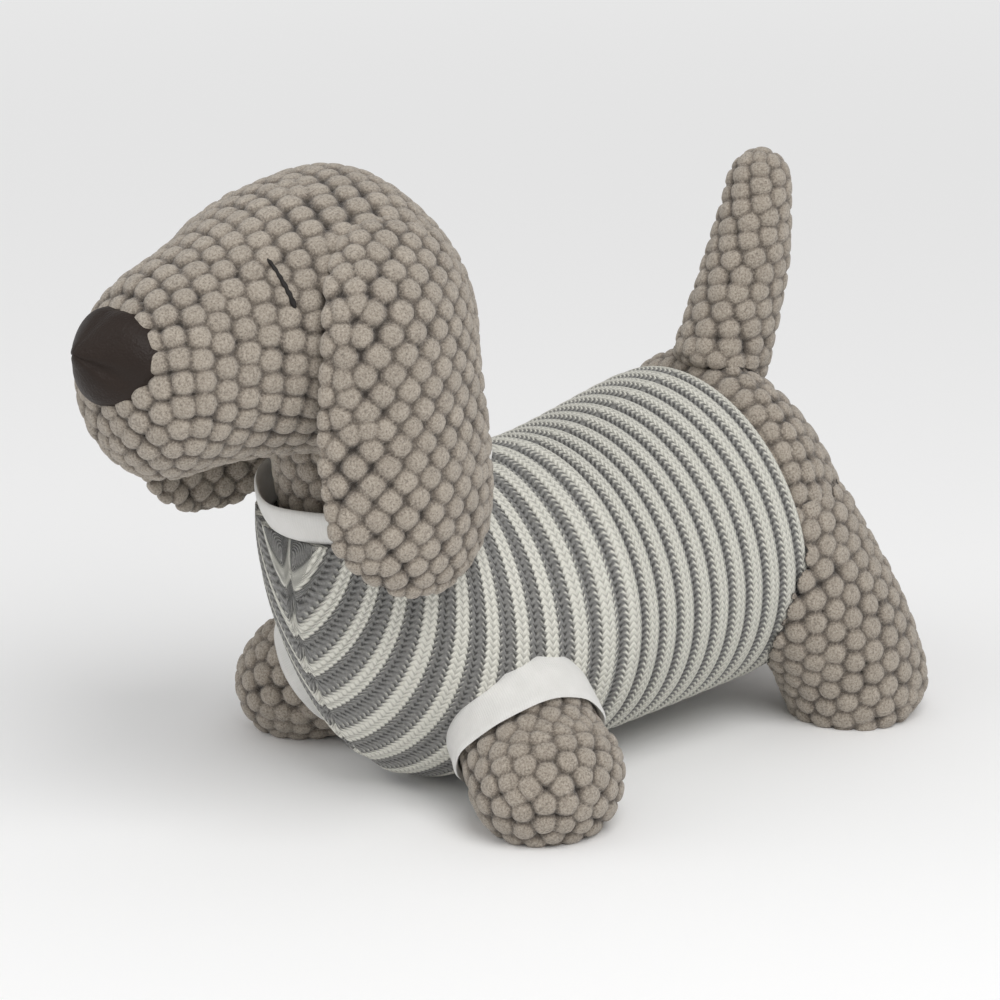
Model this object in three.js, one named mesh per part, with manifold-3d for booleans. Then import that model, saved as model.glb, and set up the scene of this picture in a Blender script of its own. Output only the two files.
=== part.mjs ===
// Weighted fabric door stop: a stuffed long-eared hound in bobble plush, asleep on its feet, in a
// ribbed jumper with plain collar and cuffs. A pouch of sand lies in its belly.
// Millimetres. +X points to the nose, +Y to the hound's left and +Z up. Z = 0 is the floor.
import * as THREE from "three";
import Module from "manifold-3d";

const wasm = await Module();
wasm.setup();

// How pieces meet
const SEAT_GAP = 0.3; // between two sewn pieces
const LAYER_GAP = 0.6; // between the trunk and the jumper pulled over it

// Bobble plush: the relief of the cloth, from the hollows to the tops of the bobbles
const BOBBLE_RELIEF = 2.4;

// Trunk: it is laid out in upright slices along X, from the rump to the prow of the chest
const RUMP_X = -197;
const PROW_X = 56;
const BARREL_X = -135; // the fattest slice of the rear
const DIP_X = -58; // the lowest slice of the back
const SHOULDER_X = -4;
const BARREL_TOP = 130;
const DIP_TOP = 117;
const WITHERS_X = -24; // where the back starts to rise to the neck
const WITHERS_TOP = 126;
const BARREL_BELLY = 10;
const SHOULDER_BELLY = 2.6;
const PROW_BELLY = 112;
const PROW_TOP = 164; // the neckline cuts it off
const PROW_KEEL = 1.8; // how sharply the flanks meet under the prow, from 1 for an ellipse
const BARREL_HALF_WIDTH = 61;
const SHOULDER_HALF_WIDTH = 58;
const RUMP_ROUND = 42;
const PROW_ROUND = 52; // over which the slices narrow to the prow
const PROW_EDGE = 1; // over which they lose their height
const REAR_SLANT = 0.14; // lean of the rear slices, tops forward
const NECK_RADIUS = 28;
const NECK_BASE = [16, 88]; // X and Z of the start of the neck, inside the chest
const NECK_TOP = [30, 152]; // and of its end, inside the head

// Jumper
const JUMPER_THICKNESS = 2.2;
const RIB_HEIGHT = 2.2;
const REAR_RIBS = 10; // from the hem to the dip of the back
const FRONT_RIBS = 15; // from the dip to the prow
const FLANK_ANGLE = -0.5; // radians below the side: where the front ribs lie at equal steps
const HEM_X = -143;
const NECKLINE_FRONT = 106; // height of the neckline at the chest
const NECKLINE_RISE = 0.13; // its slope up towards the back

// White jersey bindings
const JERSEY_THICKNESS = 1.8;
const COLLAR_WIDTH = 15;
const COLLAR_X = 16.5;
const COLLAR_HALF_LENGTH = 39;
const COLLAR_HALF_WIDTH = 37;
const COLLAR_FLARE = -1; // how far the rim draws in
const CUFF_WIDTH = 15;
const CUFF_START = 0.36; // least share of the foreleg behind the cuff
const CUFF_SLACK = 0.9;

// Head
const HEAD_LENGTH = 153; // from the back of the skull to the end of the muzzle
const SKULL_BACK = 50; // from the middle of the skull to its back
const SKULL_HALF_WIDTH = 54;
const SKULL_HALF_HEIGHT = 57;
const MUZZLE_HALF_WIDTH = 32;
const MUZZLE_HALF_HEIGHT = 33;
const HEAD_HEIGHT = 179; // height of the middle of the skull over the floor
const HEAD_FORWARD = 32; // the middle of the skull, ahead of the forelegs
const HEAD_PITCH = 1; // degrees, nose down
const MUZZLE_DROOP = 5; // how far the end of the muzzle lies under the middle of the skull

// Ears
const EAR_X = 13; // ahead of the middle of the skull
const EAR_TIP_HEIGHT = -76; // below the middle of the skull
const EAR_HALF_WIDTH = 38;
const EAR_HALF_THICKNESS = 6;
const EAR_SPREAD = 12; // how far the flaps swing out past the skull
const EAR_WRAP = 0.013; // how much they bend round it, per millimetre

// Nose and eyes
const NOSE_RADIUS = 19;
const NOSE_POINT = 10; // how far the point of the nose stands out of the muzzle
const NOSE_LIFT = 13;
const EYE_THREAD = 1.3;
const EYE_ENDS = [
  [0.615, 0.32],
  [0.61, 0.172],
]; // share along the head and half turns round it

// Tail
const TAIL_X = -158;
const TAIL_ROOT_HEIGHT = 141;
const TAIL_LENGTH = 73;
const TAIL_RADIUS = 15;
const TAIL_LEAN = 16.5; // degrees backwards
const TAIL_DEPTH = 14; // how far its root is sunk, before the rump is cut out of it
const RUMP_RISE = 9; // how far the plush rises from the jumper to the tail

// Legs
const FORE_X = -8;
const FORE_RADIUS = 29;
const FORE_REACH = 68.5; // middle of the paw from the middle plane
const FORE_HALF_HEIGHT = 25;
const FORE_HEIGHT = 21;
const FORE_TOE = 9; // how far the paw points ahead of the armhole
const HIND_X = -180;
const HIND_RADIUS = 26.5;
const HIND_SPREAD = 52;
const HIND_HEIGHT = 25;
const HAUNCH_FORWARD = 32; // how far the top of the haunch lies ahead of the paw
const HAUNCH_SPREAD = 36;
const HAUNCH_HEIGHT = 99;

// Sand pouch and the slit that it goes in by
const POUCH_X = -60;
const POUCH_HEIGHT = 55;
const POUCH_LENGTH = 150;
const POUCH_HALF_WIDTH = 44;
const POUCH_HALF_HEIGHT = 35;
const SLIT_LENGTH = 88;
const SLIT_WIDTH = 5;

// How many rings each skin has, and how many points round each ring
const BARE_RINGS = 8; // on the rump, behind the jumper
const COVERED_RINGS = 9;
const TRUNK_SEGMENTS = 36;
const NECK_RINGS = 9;
const NECK_SEGMENTS = 24;
const JUMPER_SEGMENTS = 28;
const COLLAR_SEGMENTS = 28;
const HEAD_RINGS = 26;
const HEAD_SEGMENTS = 36;
const EAR_RINGS = 18;
const EAR_SEGMENTS = 18;
const NOSE_RINGS = 7;
const NOSE_SEGMENTS = 16;
const EYE_RINGS = 6;
const EYE_SEGMENTS = 6;
const TAIL_RINGS = 14;
const TAIL_SEGMENTS = 12;
const FORE_RINGS = 11;
const HIND_RINGS = 13;
const LEG_SEGMENTS = 20;
const CUFF_SEGMENTS = 24;
const POUCH_RINGS = 8;
const POUCH_SEGMENTS = 16;

const PLUSH = { color: 0x9a9087, roughness: 0.95, metalness: 0, flatShading: true };
const KNIT = { color: 0xb4b5b1, roughness: 0.9, metalness: 0, flatShading: true };
const JERSEY = { color: 0xe6e5e2, roughness: 0.85, metalness: 0 };
const LEATHER = { color: 0x2b2320, roughness: 0.45, metalness: 0 };
const THREAD = { color: 0x14110f, roughness: 0.7, metalness: 0 };
const COTTON = { color: 0xc9c3b6, roughness: 0.9, metalness: 0 };

// Value of a profile at share t, eased between stations [share, value]
function eased(stations, t) {
  const last = stations.length - 1;
  const k = Math.min(last - 1, Math.max(0, stations.findIndex((s, i) => i < last && t <= stations[i + 1][0])));
  const [t0, v0] = stations[k];
  const [t1, v1] = stations[k + 1];
  const slopeAt = (i) => {
    if (i <= 0 || i >= last) {
      return 0;
    }
    const before = (stations[i][1] - stations[i - 1][1]) / (stations[i][0] - stations[i - 1][0]);
    const after = (stations[i + 1][1] - stations[i][1]) / (stations[i + 1][0] - stations[i][0]);
    return before * after > 0 ? (2 * before * after) / (before + after) : 0;
  };
  const span = t1 - t0;
  const x = THREE.MathUtils.clamp((t - t0) / span, 0, 1);
  const h = x * x * (3 - 2 * x);
  return (
    v0 * (1 - h) + v1 * h +
    span * (slopeAt(k) * x * (1 - x) * (1 - x) - slopeAt(k + 1) * x * x * (1 - x))
  );
}

// A closed form that is laid out in rings: share t runs along it and angle a runs round it
class Form {
  // Share of the full section that is left near the rounded ends
  roundness(t, startRound = this.startRound, endRound = this.endRound) {
    const start = Math.min(1, (t * this.length) / startRound);
    const end = Math.min(1, ((1 - t) * this.length) / endRound);
    return Math.sqrt(Math.max(0, 1 - (1 - start) ** 2) * Math.max(0, 1 - (1 - end) ** 2));
  }

  normal(t, a) {
    const step = 1e-3;
    const inner = THREE.MathUtils.clamp(t, step * 2, 1 - step * 2);
    const round = this.point(inner, a + step * 5).sub(this.point(inner, a - step * 5));
    const along = this.point(inner + step, a).sub(this.point(inner - step, a));
    return round.cross(along).normalize();
  }

  // The surface moved out by some distance, and kept above the floor
  at(t, a, out) {
    const p = this.point(t, a).addScaledVector(this.normal(t, a), out);
    p.z = Math.max(p.z, this.floor);
    return p;
  }

  // Shares whose rings are evenly spaced over the surface from one share to another
  evenShares(count, from = 0, to = 1) {
    const samples = 240;
    const shareAt = (k) => from + ((to - from) * (1 - Math.cos((Math.PI * k) / samples))) / 2;
    const lengths = [0];
    for (let k = 1; k <= samples; k++) {
      const step = [0, 1, 2, 3].map((q) =>
        this.point(shareAt(k), (Math.PI * q) / 2).distanceTo(this.point(shareAt(k - 1), (Math.PI * q) / 2)),
      );
      lengths.push(lengths[k - 1] + step.reduce((sum, d) => sum + d, 0));
    }
    return Array.from({ length: count + 1 }, (_, i) => {
      const wanted = (lengths[samples] * i) / count;
      const k = Math.max(1, lengths.findIndex((l) => l >= wanted - 1e-9));
      const part = (wanted - lengths[k - 1]) / (lengths[k] - lengths[k - 1]);
      return THREE.MathUtils.lerp(shareAt(k - 1), shareAt(k), part);
    });
  }
}

// A stuffed form round a spine. side is the direction of its half width; up and down are its
// two other half sizes.
class StuffedForm extends Form {
  constructor({ spine, side, halfWidth, up, down = up, startRound, endRound, floor = -Infinity }) {
    super();
    Object.assign(this, { spine, side, halfWidth, up, down, startRound, endRound, floor });
    this.length = spine.getLength();
  }

  point(t, a) {
    const along = this.spine.getTangentAt(t);
    const side = this.side.clone().addScaledVector(along, -along.dot(this.side)).normalize();
    const up = along.clone().cross(side);
    const round = this.roundness(t);
    const tall = Math.sin(a) > 0 ? eased(this.up, t) : eased(this.down, t);
    return this.spine
      .getPointAt(t)
      .addScaledVector(side, Math.cos(a) * eased(this.halfWidth, t) * round)
      .addScaledVector(up, Math.sin(a) * tall * round);
  }
}

// The trunk in upright slices: [x, value] stations give its half width, top and belly
class TrunkForm extends Form {
  constructor(sizes) {
    super();
    Object.assign(this, sizes);
    this.length = PROW_X - RUMP_X;
  }

  shareOf(x) {
    return (x - RUMP_X) / this.length;
  }

  // Whether a point lies inside the form or less than some distance outside it
  holds(p, outside) {
    const t = this.shareOf(p.x);
    const [left, right, top, bottom] = [0, 2, 1, 3].map((q) => this.point(t, (q * Math.PI) / 2));
    const across = Math.abs((2 * p.y) / (left.y - right.y + 2 * outside));
    const upright = (2 * p.z - top.z - bottom.z) / (top.z - bottom.z + 2 * outside);
    return across ** (2 / this.keel(p.x, upright)) + upright ** 2 < 1;
  }

  // Power of the cosine in a slice, which sharpens its lower half under the prow
  keel(x, lift) {
    const forward = THREE.MathUtils.clamp((x - WITHERS_X) / (PROW_X - WITHERS_X), 0, 1);
    return lift < 0 ? THREE.MathUtils.lerp(1, PROW_KEEL, forward) : 1;
  }

  point(t, a) {
    const x = THREE.MathUtils.lerp(RUMP_X, PROW_X, t);
    const top = eased(this.top, x);
    const belly = eased(this.belly, x);
    const wide = eased(this.halfWidth, x) * this.roundness(t);
    const tall = ((top - belly) / 2) * this.roundness(t, this.startRound, PROW_EDGE);
    const lift = Math.sin(a) * tall;
    const across = Math.sign(Math.cos(a)) * Math.abs(Math.cos(a)) ** this.keel(x, lift);
    const slant = REAR_SLANT * THREE.MathUtils.clamp((DIP_X - x) / (DIP_X - HEM_X), 0, 1);
    return new THREE.Vector3(x + slant * lift, across * wide, (top + belly) / 2 + lift);
  }
}

// Index of a grid of rings: quads are split so that each high point keeps four faces of its own.
// A closed pair of poles ends it, or it runs round like a tyre.
function ringIndex(rings, segments, closedLikeTyre) {
  const index = [];
  const at = (i, j) => (i % rings) * segments + (j % segments);
  const bands = closedLikeTyre ? rings : rings - 1;
  for (let i = 0; i < bands; i++)
    for (let j = 0; j < segments; j++) {
      const [a, b, c, d] = [at(i, j), at(i, j + 1), at(i + 1, j + 1), at(i + 1, j)];
      const faces = (i + j) % 2 ? [a, b, c, a, c, d] : [a, b, d, b, c, d];
      index.push(...faces);
    }
  return index;
}

function closedGeometry(rings, poles = null) {
  const segments = rings[0].length;
  const points = rings.flat();
  const index = ringIndex(rings.length, segments, !poles);
  if (poles) {
    const start = points.push(poles[0]) - 1;
    const end = points.push(poles[1]) - 1;
    const last = (rings.length - 1) * segments;
    for (let j = 0; j < segments; j++) {
      const next = (j + 1) % segments;
      index.push(start, next, j, last + j, last + next, end);
    }
  }
  return new THREE.BufferGeometry().setFromPoints(points).setIndex(index);
}

// Closed skin of a form. Every second point stands up as a bobble where bobbleAt says so.
function skin(form, shares, segments, grow = 0, bobbleAt = () => 1) {
  const rings = shares.slice(1, -1).map((t, i) =>
    Array.from({ length: segments }, (_, j) => {
      const lift = (i + j) % 2 ? -0.5 : 0.5;
      return form.at(t, (2 * Math.PI * j) / segments, grow + lift * BOBBLE_RELIEF * bobbleAt(t));
    }),
  );
  const pole = (t, towards) => {
    const p = form.point(t, 0);
    const out = p.clone().sub(form.point(towards, 0).add(form.point(towards, Math.PI)).multiplyScalar(0.5));
    p.addScaledVector(out.normalize(), grow);
    p.z = Math.max(p.z, form.floor);
    return p;
  };
  return closedGeometry(rings, [pole(shares[0], shares[1]), pole(shares.at(-1), shares.at(-2))]);
}

function toSolid(geometry) {
  const vertProperties = new Float32Array(geometry.getAttribute("position").array);
  const triVerts = new Uint32Array(geometry.index.array);
  return new wasm.Manifold(new wasm.Mesh({ numProp: 3, vertProperties, triVerts }));
}

function toGeometry(solid) {
  const { vertProperties, triVerts } = solid.getMesh();
  const geometry = new THREE.BufferGeometry();
  geometry.setAttribute("position", new THREE.Float32BufferAttribute(vertProperties, 3));
  geometry.setIndex(Array.from(triVerts));
  geometry.computeVertexNormals();
  return geometry;
}

// A geometry less others, keeping the largest body
function cut(geometry, ...cutters) {
  const left = cutters.reduce((solid, cutter) => solid.subtract(toSolid(cutter)), toSolid(geometry));
  const bodies = left.decompose();
  return toGeometry(bodies.reduce((big, body) => (body.volume() > big.volume() ? body : big)));
}

function mesh(name, geometry, look) {
  const made = new THREE.Mesh(geometry, new THREE.MeshStandardMaterial(look));
  made.name = name;
  return made;
}

// The same piece on the hound's other side
function mirrored(original, name) {
  const twin = new THREE.Mesh(original.geometry, original.material.clone());
  twin.name = name;
  twin.scale.y = -1;
  return twin;
}

const curve = (points) => new THREE.CatmullRomCurve3(points.map((p) => new THREE.Vector3(...p)), false, "centripetal");
const LEFT = new THREE.Vector3(0, 1, 0);

// Trunk and jumper share one form: the jumper lies over it
const trunkSizes = {
  halfWidth: [
    [RUMP_X, BARREL_HALF_WIDTH],
    [BARREL_X, BARREL_HALF_WIDTH],
    [DIP_X, (BARREL_HALF_WIDTH + SHOULDER_HALF_WIDTH) / 2],
    [SHOULDER_X, SHOULDER_HALF_WIDTH],
    [PROW_X, SHOULDER_HALF_WIDTH * 0.84],
  ],
  top: [
    [RUMP_X, BARREL_TOP],
    [TAIL_X, BARREL_TOP + RUMP_RISE],
    [HEM_X, BARREL_TOP + RUMP_RISE * 0.15],
    [BARREL_X, BARREL_TOP],
    [DIP_X, DIP_TOP],
    [WITHERS_X, DIP_TOP * 1.01],
    [SHOULDER_X, WITHERS_TOP],
    [PROW_X, PROW_TOP],
  ],
  belly: [
    [RUMP_X, BARREL_BELLY * 2],
    [BARREL_X, BARREL_BELLY],
    [SHOULDER_X, SHOULDER_BELLY],
    [THREE.MathUtils.lerp(SHOULDER_X, PROW_X, 0.5), PROW_BELLY * 0.17],
    [THREE.MathUtils.lerp(SHOULDER_X, PROW_X, 0.81), PROW_BELLY * 0.45],
    [THREE.MathUtils.lerp(SHOULDER_X, PROW_X, 0.95), PROW_BELLY * 0.7],
    [PROW_X, PROW_BELLY],
  ],
  startRound: RUMP_ROUND,
  endRound: PROW_ROUND,
  floor: -Infinity,
};
const trunkForm = new TrunkForm(trunkSizes);
const hemShare = trunkForm.shareOf(HEM_X);

// Distance of the plush from the form where the jumper lies over it
const UNDER_JUMPER = -JUMPER_THICKNESS - LAYER_GAP;
const coveredShares = trunkForm.evenShares(COVERED_RINGS, hemShare, 1);
const trunkShares = [...trunkForm.evenShares(BARE_RINGS, 0, hemShare).slice(0, -1), ...coveredShares];
const bareRump = (t) => (t > hemShare - 1e-6 ? 0 : 1);
const trunkSkin = (grow) => skin(trunkForm, trunkShares, TRUNK_SEGMENTS, UNDER_JUMPER + grow, bareRump);
const neckForm = new StuffedForm({
  spine: curve([
    [NECK_BASE[0], 0, NECK_BASE[1]],
    [THREE.MathUtils.lerp(NECK_BASE[0], NECK_TOP[0], 0.5), 0, THREE.MathUtils.lerp(NECK_BASE[1], NECK_TOP[1], 0.5)],
    [NECK_TOP[0], 0, NECK_TOP[1]],
  ]),
  side: LEFT,
  halfWidth: [
    [0, NECK_RADIUS],
    [1, NECK_RADIUS],
  ],
  up: [
    [0, NECK_RADIUS],
    [1, NECK_RADIUS],
  ],
  startRound: 10,
  endRound: 10,
  floor: -Infinity,
});
const neckSkin = (grow) => skin(neckForm, neckForm.evenShares(NECK_RINGS), NECK_SEGMENTS, grow);

// Everything above the neckline, as a slab to cut with
function aboveNeckline(lift) {
  const size = 2 * (PROW_X - DIP_X);
  const slab = new THREE.BoxGeometry(size, size, size);
  slab.translate(0, 0, size / 2 + lift);
  slab.rotateY(Math.atan(NECKLINE_RISE));
  slab.translate(PROW_X, 0, NECKLINE_FRONT);
  return indexed(slab);
}

// Jumper: one rib is a high pale ring and a low grey one
const RIB_RINGS = (REAR_RIBS + FRONT_RIBS) * 2;
const dipShare = trunkForm.shareOf(DIP_X);
const flank = curve(
  Array.from({ length: 2 * RIB_RINGS }, (_, k) => {
    const t = THREE.MathUtils.lerp(dipShare, 1, k / (2 * RIB_RINGS - 1));
    return trunkForm.point(t, FLANK_ANGLE).toArray();
  }),
);

function ribShare(i) {
  const rib = i / 2;
  const x =
    rib < REAR_RIBS
      ? THREE.MathUtils.lerp(HEM_X, DIP_X, rib / REAR_RIBS)
      : flank.getPointAt((rib - REAR_RIBS) / FRONT_RIBS).x;
  return trunkForm.shareOf(x);
}

// The ribbed outside of the jumper, flat over the hem and closed at the prow
function ribbedSkin() {
  const rings = Array.from({ length: RIB_RINGS }, (_, i) =>
    Array.from({ length: JUMPER_SEGMENTS }, (_, j) =>
      trunkForm.at(ribShare(i), (2 * Math.PI * j) / JUMPER_SEGMENTS, i % 2 ? 0 : RIB_HEIGHT),
    ),
  );
  const hemMiddle = trunkForm.point(hemShare, 0).add(trunkForm.point(hemShare, Math.PI)).multiplyScalar(0.5);
  return closedGeometry(rings, [hemMiddle, trunkForm.point(1, 0)]);
}

// The room that the jumper takes up, a little past its hem
function jumperRoom() {
  const shares = [hemShare - 0.04, hemShare - 0.015, ...coveredShares];
  return skin(trunkForm, shares, TRUNK_SEGMENTS, RIB_HEIGHT + SEAT_GAP, () => 0);
}

function jumperGeometry(armholes) {
  const behindHem = [0.06, 0.03].map((share) => hemShare - share);
  const room = skin(trunkForm, [...behindHem, ...coveredShares], TRUNK_SEGMENTS, -JUMPER_THICKNESS, () => 0);
  return cut(ribbedSkin(), room, aboveNeckline(0), ...armholes);
}

// A closed band of cloth with a rectangular section, from rings that run up its outside
function bandOf(outside, inside) {
  return closedGeometry([...outside, ...inside.reverse()]);
}

// Collar: a band that stands on the neckline
function collarGeometry() {
  const ring = (lift, inset) =>
    Array.from({ length: COLLAR_SEGMENTS }, (_, j) => {
      const a = (2 * Math.PI * j) / COLLAR_SEGMENTS;
      const front = (Math.cos(a) + 1) / 2;
      const x = COLLAR_X + Math.cos(a) * (COLLAR_HALF_LENGTH - inset);
      const y = Math.sin(a) * (COLLAR_HALF_WIDTH - inset);
      const rise = lift * (1 - 0.12 * front);
      return new THREE.Vector3(x, y, NECKLINE_FRONT + NECKLINE_RISE * (PROW_X - x) + SEAT_GAP + rise);
    });
  const steps = [0, 0.5, 1];
  return bandOf(
    steps.map((k) => ring(k * COLLAR_WIDTH, k * COLLAR_FLARE)),
    steps.map((k) => ring(k * COLLAR_WIDTH, k * COLLAR_FLARE + JERSEY_THICKNESS)),
  );
}

// Head, in its own frame: the origin is the middle of the skull and +X points down the muzzle
const headForm = new StuffedForm({
  spine: curve([
    [-SKULL_BACK, 0, MUZZLE_DROOP * 0.4],
    [-SKULL_BACK * 0.4, 0, 0],
    [HEAD_LENGTH * 0.12, 0, 0],
    [HEAD_LENGTH * 0.36, 0, -MUZZLE_DROOP * 0.6],
    [HEAD_LENGTH - SKULL_BACK, 0, -MUZZLE_DROOP],
  ]),
  side: LEFT,
  halfWidth: [
    [0, SKULL_HALF_WIDTH * 0.92],
    [0.3, SKULL_HALF_WIDTH],
    [0.5, SKULL_HALF_WIDTH * 0.9],
    [0.72, MUZZLE_HALF_WIDTH * 1.12],
    [0.9, MUZZLE_HALF_WIDTH],
    [1, MUZZLE_HALF_WIDTH],
  ],
  up: [
    [0, SKULL_HALF_HEIGHT * 0.95],
    [0.33, SKULL_HALF_HEIGHT * 1.02],
    [0.55, SKULL_HALF_HEIGHT * 0.93],
    [0.8, MUZZLE_HALF_HEIGHT * 1.26],
    [1, MUZZLE_HALF_HEIGHT],
  ],
  down: [
    [0, SKULL_HALF_HEIGHT * 0.9],
    [0.3, SKULL_HALF_HEIGHT * 0.9],
    [0.5, SKULL_HALF_HEIGHT * 0.66],
    [0.75, MUZZLE_HALF_HEIGHT * 0.96],
    [1, MUZZLE_HALF_HEIGHT],
  ],
  startRound: SKULL_HALF_WIDTH,
  endRound: MUZZLE_HALF_HEIGHT * 0.73,
});
const headSkin = (grow) => skin(headForm, headForm.evenShares(HEAD_RINGS), HEAD_SEGMENTS, grow);

// Left ear: a flat stuffed flap that lies over the cheek and hangs past the jaw
class FlapForm extends StuffedForm {
  point(t, a) {
    const p = super.point(t, a);
    p.y -= EAR_WRAP * (p.x - EAR_X) ** 2;
    return p;
  }
}
const earForm = new FlapForm({
  spine: curve([
    [EAR_X - EAR_HALF_WIDTH * 0.56, SKULL_HALF_WIDTH * 0.6, SKULL_HALF_HEIGHT * 0.78],
    [EAR_X - EAR_HALF_WIDTH * 0.2, SKULL_HALF_WIDTH * 0.99, SKULL_HALF_HEIGHT * 0.36],
    [EAR_X, SKULL_HALF_WIDTH + EAR_SPREAD * 0.7, EAR_TIP_HEIGHT * 0.3],
    [EAR_X + EAR_HALF_WIDTH * 0.1, SKULL_HALF_WIDTH + EAR_SPREAD, EAR_TIP_HEIGHT * 0.66],
    [EAR_X + EAR_HALF_WIDTH * 0.18, SKULL_HALF_WIDTH + EAR_SPREAD * 0.7, EAR_TIP_HEIGHT],
  ]),
  side: new THREE.Vector3(1, 0, 0),
  halfWidth: [
    [0, EAR_HALF_WIDTH * 0.6],
    [0.28, EAR_HALF_WIDTH * 0.88],
    [0.65, EAR_HALF_WIDTH],
    [0.85, EAR_HALF_WIDTH * 0.94],
    [1, EAR_HALF_WIDTH * 0.82],
  ],
  up: [
    [0, EAR_HALF_THICKNESS],
    [1, EAR_HALF_THICKNESS],
  ],
  startRound: EAR_HALF_WIDTH * 0.37,
  endRound: EAR_HALF_WIDTH * 0.68,
});
const earSkin = (grow) => skin(earForm, earForm.evenShares(EAR_RINGS), EAR_SEGMENTS, grow, () => 0.8);

// Nose: a leather cap drawn to a point over the end of the muzzle
function noseGeometry() {
  const tip = headForm.spine.getPointAt(1);
  const nose = new StuffedForm({
    spine: curve([
      [tip.x - NOSE_RADIUS, 0, tip.z + NOSE_LIFT * 0.6],
      [tip.x - NOSE_RADIUS * 0.3, 0, tip.z + NOSE_LIFT],
      [tip.x + NOSE_POINT, 0, tip.z + NOSE_LIFT * 1.3],
    ]),
    side: LEFT,
    halfWidth: [
      [0, NOSE_RADIUS],
      [0.5, NOSE_RADIUS],
      [1, NOSE_RADIUS * 0.5],
    ],
    up: [
      [0, NOSE_RADIUS],
      [0.6, NOSE_RADIUS * 0.92],
      [1, NOSE_RADIUS * 0.45],
    ],
    startRound: NOSE_RADIUS * 0.2,
    endRound: NOSE_RADIUS * 0.63,
  });
  return cut(skin(nose, nose.evenShares(NOSE_RINGS), NOSE_SEGMENTS, 0, () => 0), headSkin(SEAT_GAP));
}

// Left eye: one long stitch of thread on the cheek, a closed lid
function eyeGeometry() {
  const lids = EYE_ENDS.map(([t, a]) => headForm.at(t, a * Math.PI, EYE_THREAD * 0.5 + BOBBLE_RELIEF * 0.5));
  const middle = lids[0].clone().lerp(lids[1], 0.5).multiplyScalar(1.02);
  const thread = new StuffedForm({
    spine: curve([lids[0].toArray(), middle.toArray(), lids[1].toArray()]),
    side: LEFT,
    halfWidth: [
      [0, EYE_THREAD],
      [1, EYE_THREAD],
    ],
    up: [
      [0, EYE_THREAD],
      [1, EYE_THREAD],
    ],
    startRound: EYE_THREAD,
    endRound: EYE_THREAD,
  });
  return cut(skin(thread, thread.evenShares(EYE_RINGS), EYE_SEGMENTS, 0, () => 0), headSkin(SEAT_GAP));
}

// Tail, in its own frame: it stands on the rump and narrows a little to a round tip
const tailForm = new StuffedForm({
  spine: curve([
    [0, 0, -TAIL_DEPTH],
    [-TAIL_LENGTH * 0.03, 0, TAIL_LENGTH * 0.4],
    [0, 0, TAIL_LENGTH * 0.75],
    [TAIL_LENGTH * 0.04, 0, TAIL_LENGTH],
  ]),
  side: LEFT,
  halfWidth: [
    [0, TAIL_RADIUS * 1.1],
    [0.5, TAIL_RADIUS],
    [1, TAIL_RADIUS * 0.7],
  ],
  up: [
    [0, TAIL_RADIUS * 1.25],
    [0.5, TAIL_RADIUS * 1.05],
    [1, TAIL_RADIUS * 0.72],
  ],
  startRound: TAIL_RADIUS * 0.33,
  endRound: TAIL_RADIUS * 0.8,
});

// Left foreleg: a stub that comes out of the armhole sideways and rests its paw on the floor
const foreForm = new StuffedForm({
  spine: curve([
    [FORE_X - FORE_TOE, SHOULDER_HALF_WIDTH * 0.45, FORE_HEIGHT * 2.2],
    [FORE_X - FORE_TOE * 0.6, FORE_REACH * 0.68, FORE_HEIGHT * 1.7],
    [FORE_X, FORE_REACH, FORE_HEIGHT * 0.95],
    [FORE_X + FORE_TOE * 0.4, FORE_REACH + FORE_RADIUS * 0.85, FORE_HEIGHT * 0.65],
  ]),
  side: new THREE.Vector3(1, 0, 0),
  halfWidth: [
    [0, FORE_RADIUS * 0.82],
    [0.4, FORE_RADIUS * 0.85],
    [0.75, FORE_RADIUS],
    [1, FORE_RADIUS],
  ],
  up: [
    [0, FORE_HALF_HEIGHT * 0.96],
    [0.45, FORE_HALF_HEIGHT],
    [1, FORE_HALF_HEIGHT],
  ],
  startRound: FORE_RADIUS * 0.3,
  endRound: FORE_RADIUS * 0.9,
  floor: 0,
});
const foreSkin = (grow, bobble = 1) =>
  skin(foreForm, foreForm.evenShares(FORE_RINGS), LEG_SEGMENTS, grow, () => bobble);

// Left cuff: a band round the foreleg where it leaves the jumper
function cuffGeometry() {
  const clear = BOBBLE_RELIEF / 2 + CUFF_SLACK;
  const outside = RIB_HEIGHT + SEAT_GAP;
  const angles = Array.from({ length: CUFF_SEGMENTS }, (_, j) => (2 * Math.PI * j) / CUFF_SEGMENTS);
  const steps = 60;
  const seams = angles.map((a) => {
    let step = Math.round(CUFF_START * steps);
    while (step < steps && trunkForm.holds(foreForm.at(step / steps, a, clear), outside)) {
      step++;
    }
    return step / steps;
  });
  const ring = (k, out) =>
    angles.map((a, j) => foreForm.at(seams[j] + (k * CUFF_WIDTH) / foreForm.length, a, out));
  return bandOf(
    [0, 1].map((k) => ring(k, clear + JERSEY_THICKNESS)),
    [0, 1].map((k) => ring(k, clear)),
  );
}

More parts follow.
